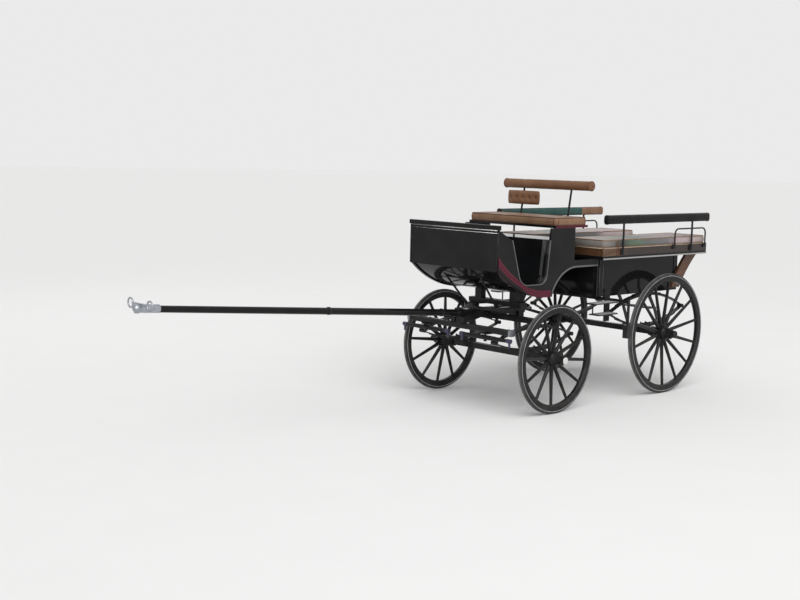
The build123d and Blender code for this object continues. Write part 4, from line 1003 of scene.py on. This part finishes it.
def makeEntryBeads():
    top, foot, rearFoot, seat = [Vector(entry[label]) for label in ("top", "foot", "rearFoot", "seat")]
    line = [top, top.lerp(foot, 0.5)] + tangentArc(foot, entry["front"], foot - top) + [Vector(entry["sill"])]
    line += tangentArc(entry["rear"], rearFoot, (-1, 0)) + [rearFoot.lerp(seat, 0.5), seat]
    outward = []
    for index in range(len(line)):
        along = (line[min(index + 1, len(line) - 1)] - line[max(index - 1, 0)]).normalized()
        outward.append(Vector((along.y, -along.x)))
    outer, inner = entry["liningY"]
    corners = ((outer, 0), (outer, entry["lining"]), (inner, entry["lining"]), (inner, 0))
    lining, bag = Bag(), Bag()
    for hand in bothHands:
        lining.ribbon([[at(p.x + out.x * away, hand * y, p.y + out.y * away) for y, away in corners]
                       for p, out in zip(line, outward)])
        edge = [p + out * entry["outset"] for p, out in zip(line, outward)]
        bag.tube([at(p.x, hand * 500.6, p.y) for p in edge], entry["bead"], 10)
        for x in entry["pillar"]:
            bag.tube([at(x, hand * 505, z) for z in (936, 1080, 1226)], entry["pillarBead"])
    lining.piece("entryLining", ["coachBlack"], body, "black_lacquer")
    bag.piece("entryBeads", ["rimGrey"], body, "black_lacquer")


makeEntryBeads()

# Leather straps hold the cushions down to the apron
strap = {
    "places": (-58, -84), "half": 5.5, "thick": 2.2, "line": (
        (621.2, 1262), (621.2, 1318), (624.2, 1325), (624.2, 1333), (618.5, 1339), (614.5, 1350), (614.8, 1380)),
}
bag = Bag()
for hand in bothHands:
    for x in strap["places"]:
        bag.ribbon([[at(x + dx * strap["half"], hand * (y + dy * strap["thick"]), z)
                     for dx, dy in ((-1, 0), (1, 0), (1, 1), (-1, 1))] for y, z in strap["line"]])
crispEdges(bag.piece("cushionStraps", ["darkTanHide"], body, "tan_leather"))

# The maroon line rises towards the dash: a black strip covers its foot there as painted shade, and a maroon strip lies
# along its top
sill = {
    "x": 700, "z": 940, "radius": 868.05, "reach": 594.8, "steps": 16, "full": 0.4, "least": 0.8,
    "sillShadeStrip": {"finish": "coachBlack", "slot": "black_lacquer", "start": 12, "inward": 0, "width": 32,
                "y": (505.5, 507.2)},
    "sillLine": {"finish": "bordeaux", "slot": "maroon_wood", "start": 17, "inward": 57, "width": 22, "y": (499, 506)},
}


def makeSillTrim(name):
    trim = sill[name]
    low, high = trim["y"]
    start = math.radians(trim["start"])
    bag = Bag()
    for hand in bothHands:
        rings = []
        for share in (step / sill["steps"] for step in range(sill["steps"] + 1)):
            grown = min(1.0, share / sill["full"])
            width = sill["least"] + trim["width"] * grown * grown * (3 - 2 * grown)
            ring = []
            for inward, y in ((0, low), (width, low), (width, high), (0, high)):
                radius = sill["radius"] - trim["inward"] - inward
                turn = start + (math.asin(sill["reach"] / radius) - start) * share
                ring.append(at(sill["x"] + radius * math.sin(turn), hand * y,
                               sill["z"] + sill["radius"] - radius * math.cos(turn)))
            rings.append(ring)
        bag.ribbon(rings)
    bag.piece(name, [trim["finish"]], body, trim["slot"])


makeSillTrim("sillShadeStrip")
makeSillTrim("sillLine")

# Nuts, bolts and rivets: places, the way they face, radius, height and number of sides; six make a nut
plate = [(dx, dy) for dx in (-36, 36) for dy in (-22.5, 22.5)]  # four bolts round a spring's saddle
fasteners = {
    "bodyBolts": (body, bothHands, (
        ([(x + dx, 632, z) for x, z in ((-125, 1290), (-1140, 1290), (-880, 1312), (-1355, 1312)) for dx in (-14, 14)],
         (0, 1, 0), 5.2, 4.2, 6),
        ([(x, 512, z) for x in (-115, -75) for z in (912, 944)], (0, 1, 0), 6.5, 5, 6),
        ([(-755 + dx, 440 + dy, 612) for dx, dy in plate], (0, 0, 1), 7, 6, 6),
        ([(-755 + dx, 440 + dy, 853) for dx, dy in plate], (0, 0, -1), 7, 6, 6),
        ([(x, 320, 880) for x in (-190, -170)], (0, -1, 0), 5, 4, 6),
        ([(x, 528, z) for x, z in ((-1080, 960), (-1110, 1010), (-1290, 1200), (-1330, 1215))], (0, 1, 0), 5, 3, 10))),
    "gearBolts": (foreCarriage, bothHands, (
        ([(755 + dx, 420 + dy, 522) for dx, dy in plate], (0, 0, 1), 7, 6, 6),
        ([(755 + dx, 420 + dy, 668) for dx, dy in plate], (0, 0, -1), 7, 6, 6),
        ([(1210, y, 715) for y in (345, 560, 120)], (0, 0, 1), 10, 6, 14),
        ([(x, 75, 782) for x in (560, 660, 860, 960)], (0, 1, 0), 7, 5, 6))),
    "hingeRivets": ("door", (1,), (
        ([(-1124, y, z) for z in (985, 1150) for y in (84, 130, 176)], (-1, 0, 0), 5.2, 3, 12),)),
}
for name, (rider, hands, rows) in fasteners.items():
    bag = Bag()
    for hand in hands:
        for places, (nx, ny, nz), radius, height, sides in rows:
            for x, y, z in places:
                bag.dome(at(x, hand * y, z), (nx, hand * ny, nz), radius / 1000, height / 1000, sides)
    bag.piece(name, ["gearBlack"], rider, "black_iron")

# Light steel rings at the edges of the tyre channels: worn steel, and painted highlight along the rims
channelEdge = {"radius": 0.0026, "around": 120, "track": 668, "side": 20.3, "inward": 21.5}
wheels = {
    "FrontLeft": (755, 450, 1, "front_left_wheel"), "FrontRight": (755, 450, -1, "front_right_wheel"),
    "RearLeft": (-755, 540, 1, "rear_left_wheel"), "RearRight": (-755, 540, -1, "rear_right_wheel"),
}
for name, (x, radius, hand, rider) in wheels.items():
    bag = Bag()
    reach = radius - channelEdge["inward"]
    for face in (-1, 1):
        y = hand * channelEdge["track"] + face * channelEdge["side"]
        ring = [at(x + reach * math.cos(a), y, radius + reach * math.sin(a)) for a in turns(channelEdge["around"])]
        bag.tube(ring, channelEdge["radius"], 6, closed=True)
    bag.piece(name + "ChannelEdges", ["wornAndHighlitSteel"], rider, "steel")

# Iron bands round the tapered pole
poleBands = {
    "places": (1235, 1420, 2600), "width": 0.022, "sides": 36, "butt": (1105, 784, 29), "tip": (4055, 1023.471, 24),
    "profile": ((-1, 0.9), (-1, 1.09), (-0.8, 1.12), (0.8, 1.12), (1, 1.09), (1, 0.9)),
}
bag = Bag()
(buttX, buttZ, buttRadius), (tipX, tipZ, tipRadius) = poleBands["butt"], poleBands["tip"]
start, end = at(buttX, 0, buttZ), at(tipX, 0, tipZ)
along, side = (end - start).normalized(), Vector((0, 1, 0))
up = along.cross(side)
for x in poleBands["places"]:
    share = (x - buttX) / (tipX - buttX)
    radius = (buttRadius + (tipRadius - buttRadius) * share + 0.8) / 1000
    points = []
    for offset, size in poleBands["profile"]:
        place = start.lerp(end, share) + along * offset * poleBands["width"] / 2
        points += [place + (side * math.cos(a) + up * math.sin(a)) * radius * size for a in turns(poleBands["sides"])]
    bag.add(points, ringFaces(len(poleBands["profile"]), poleBands["sides"], closed=True))
crispEdges(bag.piece("poleBands", ["gearBlack"], foreCarriage, "black_iron"))
print("beads, bolts and bands fitted")

studio = {
    "floorSize": 240.0, "floorColour": (0.885, 0.885, 0.88), "worldStrength": 0.5, "backdrop": 0.825,
    "sunStrength": 2.0, "sunAngle": 1.1, "sunFrom": (0.5, 0.75, 0.8), "lamps": {
        "keyLight": ((3.5, 7.0, 6.0), (-1.2, 0, 0.8), 4.0, 70),
        "fillLight": ((-7.0, 5.0, 4.5), (-1.2, 0, 0.8), 4.0, 30),
        "backLight": ((0.0, -7.5, 6.0), (-1.0, 0, 0.8), 4.5, 30)},
}
world = bpy.data.worlds.new("studio")
bpy.context.scene.world = world
world.use_nodes = True
sky = world.node_tree
path = addNode(sky, "LightPath")
seen = mathNode(sky, "MAXIMUM", path["Is Camera Ray"],
                mathNode(sky, "MAXIMUM", path["Is Glossy Ray"], path["Is Transmission Ray"]))
strength = mixValue(sky, seen, studio["worldStrength"], studio["backdrop"])
feed(sky, sky.nodes["Background"].inputs, {"Color": (1, 1, 1), "Strength": strength})

floorMesh = bpy.data.meshes.new("floor")
half = studio["floorSize"] / 2
floorMesh.from_pydata([(-half, -half, 0), (half, -half, 0), (half, half, 0), (-half, half, 0)], [], [(0, 1, 2, 3)])
floor = addObject("floor", floorMesh)
floorFinish, floorTree, floorShader = newFinish("paleFloor", {"Roughness": 0.9, "Specular IOR Level": 0.1})
speckle = noiseNode(floorTree, objectCoords(floorTree), 2.0, 3)
darker = tuple(c * 0.97 for c in studio["floorColour"])
feed(floorTree, floorShader, {"Base Color": mixColour(floorTree, speckle, studio["floorColour"], darker)})
floorMesh.materials.append(floorFinish)

for name, (place, aim, size, watts) in studio["lamps"].items():
    lamp = bpy.data.lights.new(name, "AREA")
    lamp.shape, lamp.size, lamp.energy = "SQUARE", size, watts
    holder = addObject(name, lamp)
    holder.location = place
    holder.rotation_euler = (Vector(aim) - Vector(place)).to_track_quat("-Z", "Y").to_euler()
sun = bpy.data.lights.new("daylight", "SUN")
sun.energy, sun.angle = studio["sunStrength"], studio["sunAngle"]
addObject("daylight", sun).rotation_euler = Vector(studio["sunFrom"]).to_track_quat("Z", "Y").to_euler()

view = {"place": (6.7983, 6.9343, 2.0666), "lens": 54.0, "sensor": 36.0, "right": (-0.73934, 0.67298, 0.02176),
        "up": (-0.06405, -0.10246, 0.99267), "back": (0.67028, 0.73253, 0.11886)}
camera = addObject("camera", bpy.data.cameras.new("camera"))
camera.data.lens, camera.data.sensor_width = view["lens"], view["sensor"]
turn = Matrix((view["right"], view["up"], view["back"])).transposed().to_4x4()
camera.matrix_world = Matrix.Translation(view["place"]) @ turn
bpy.context.scene.camera = camera
bpy.context.scene.view_settings.view_transform = "Standard"
print("studio ready")
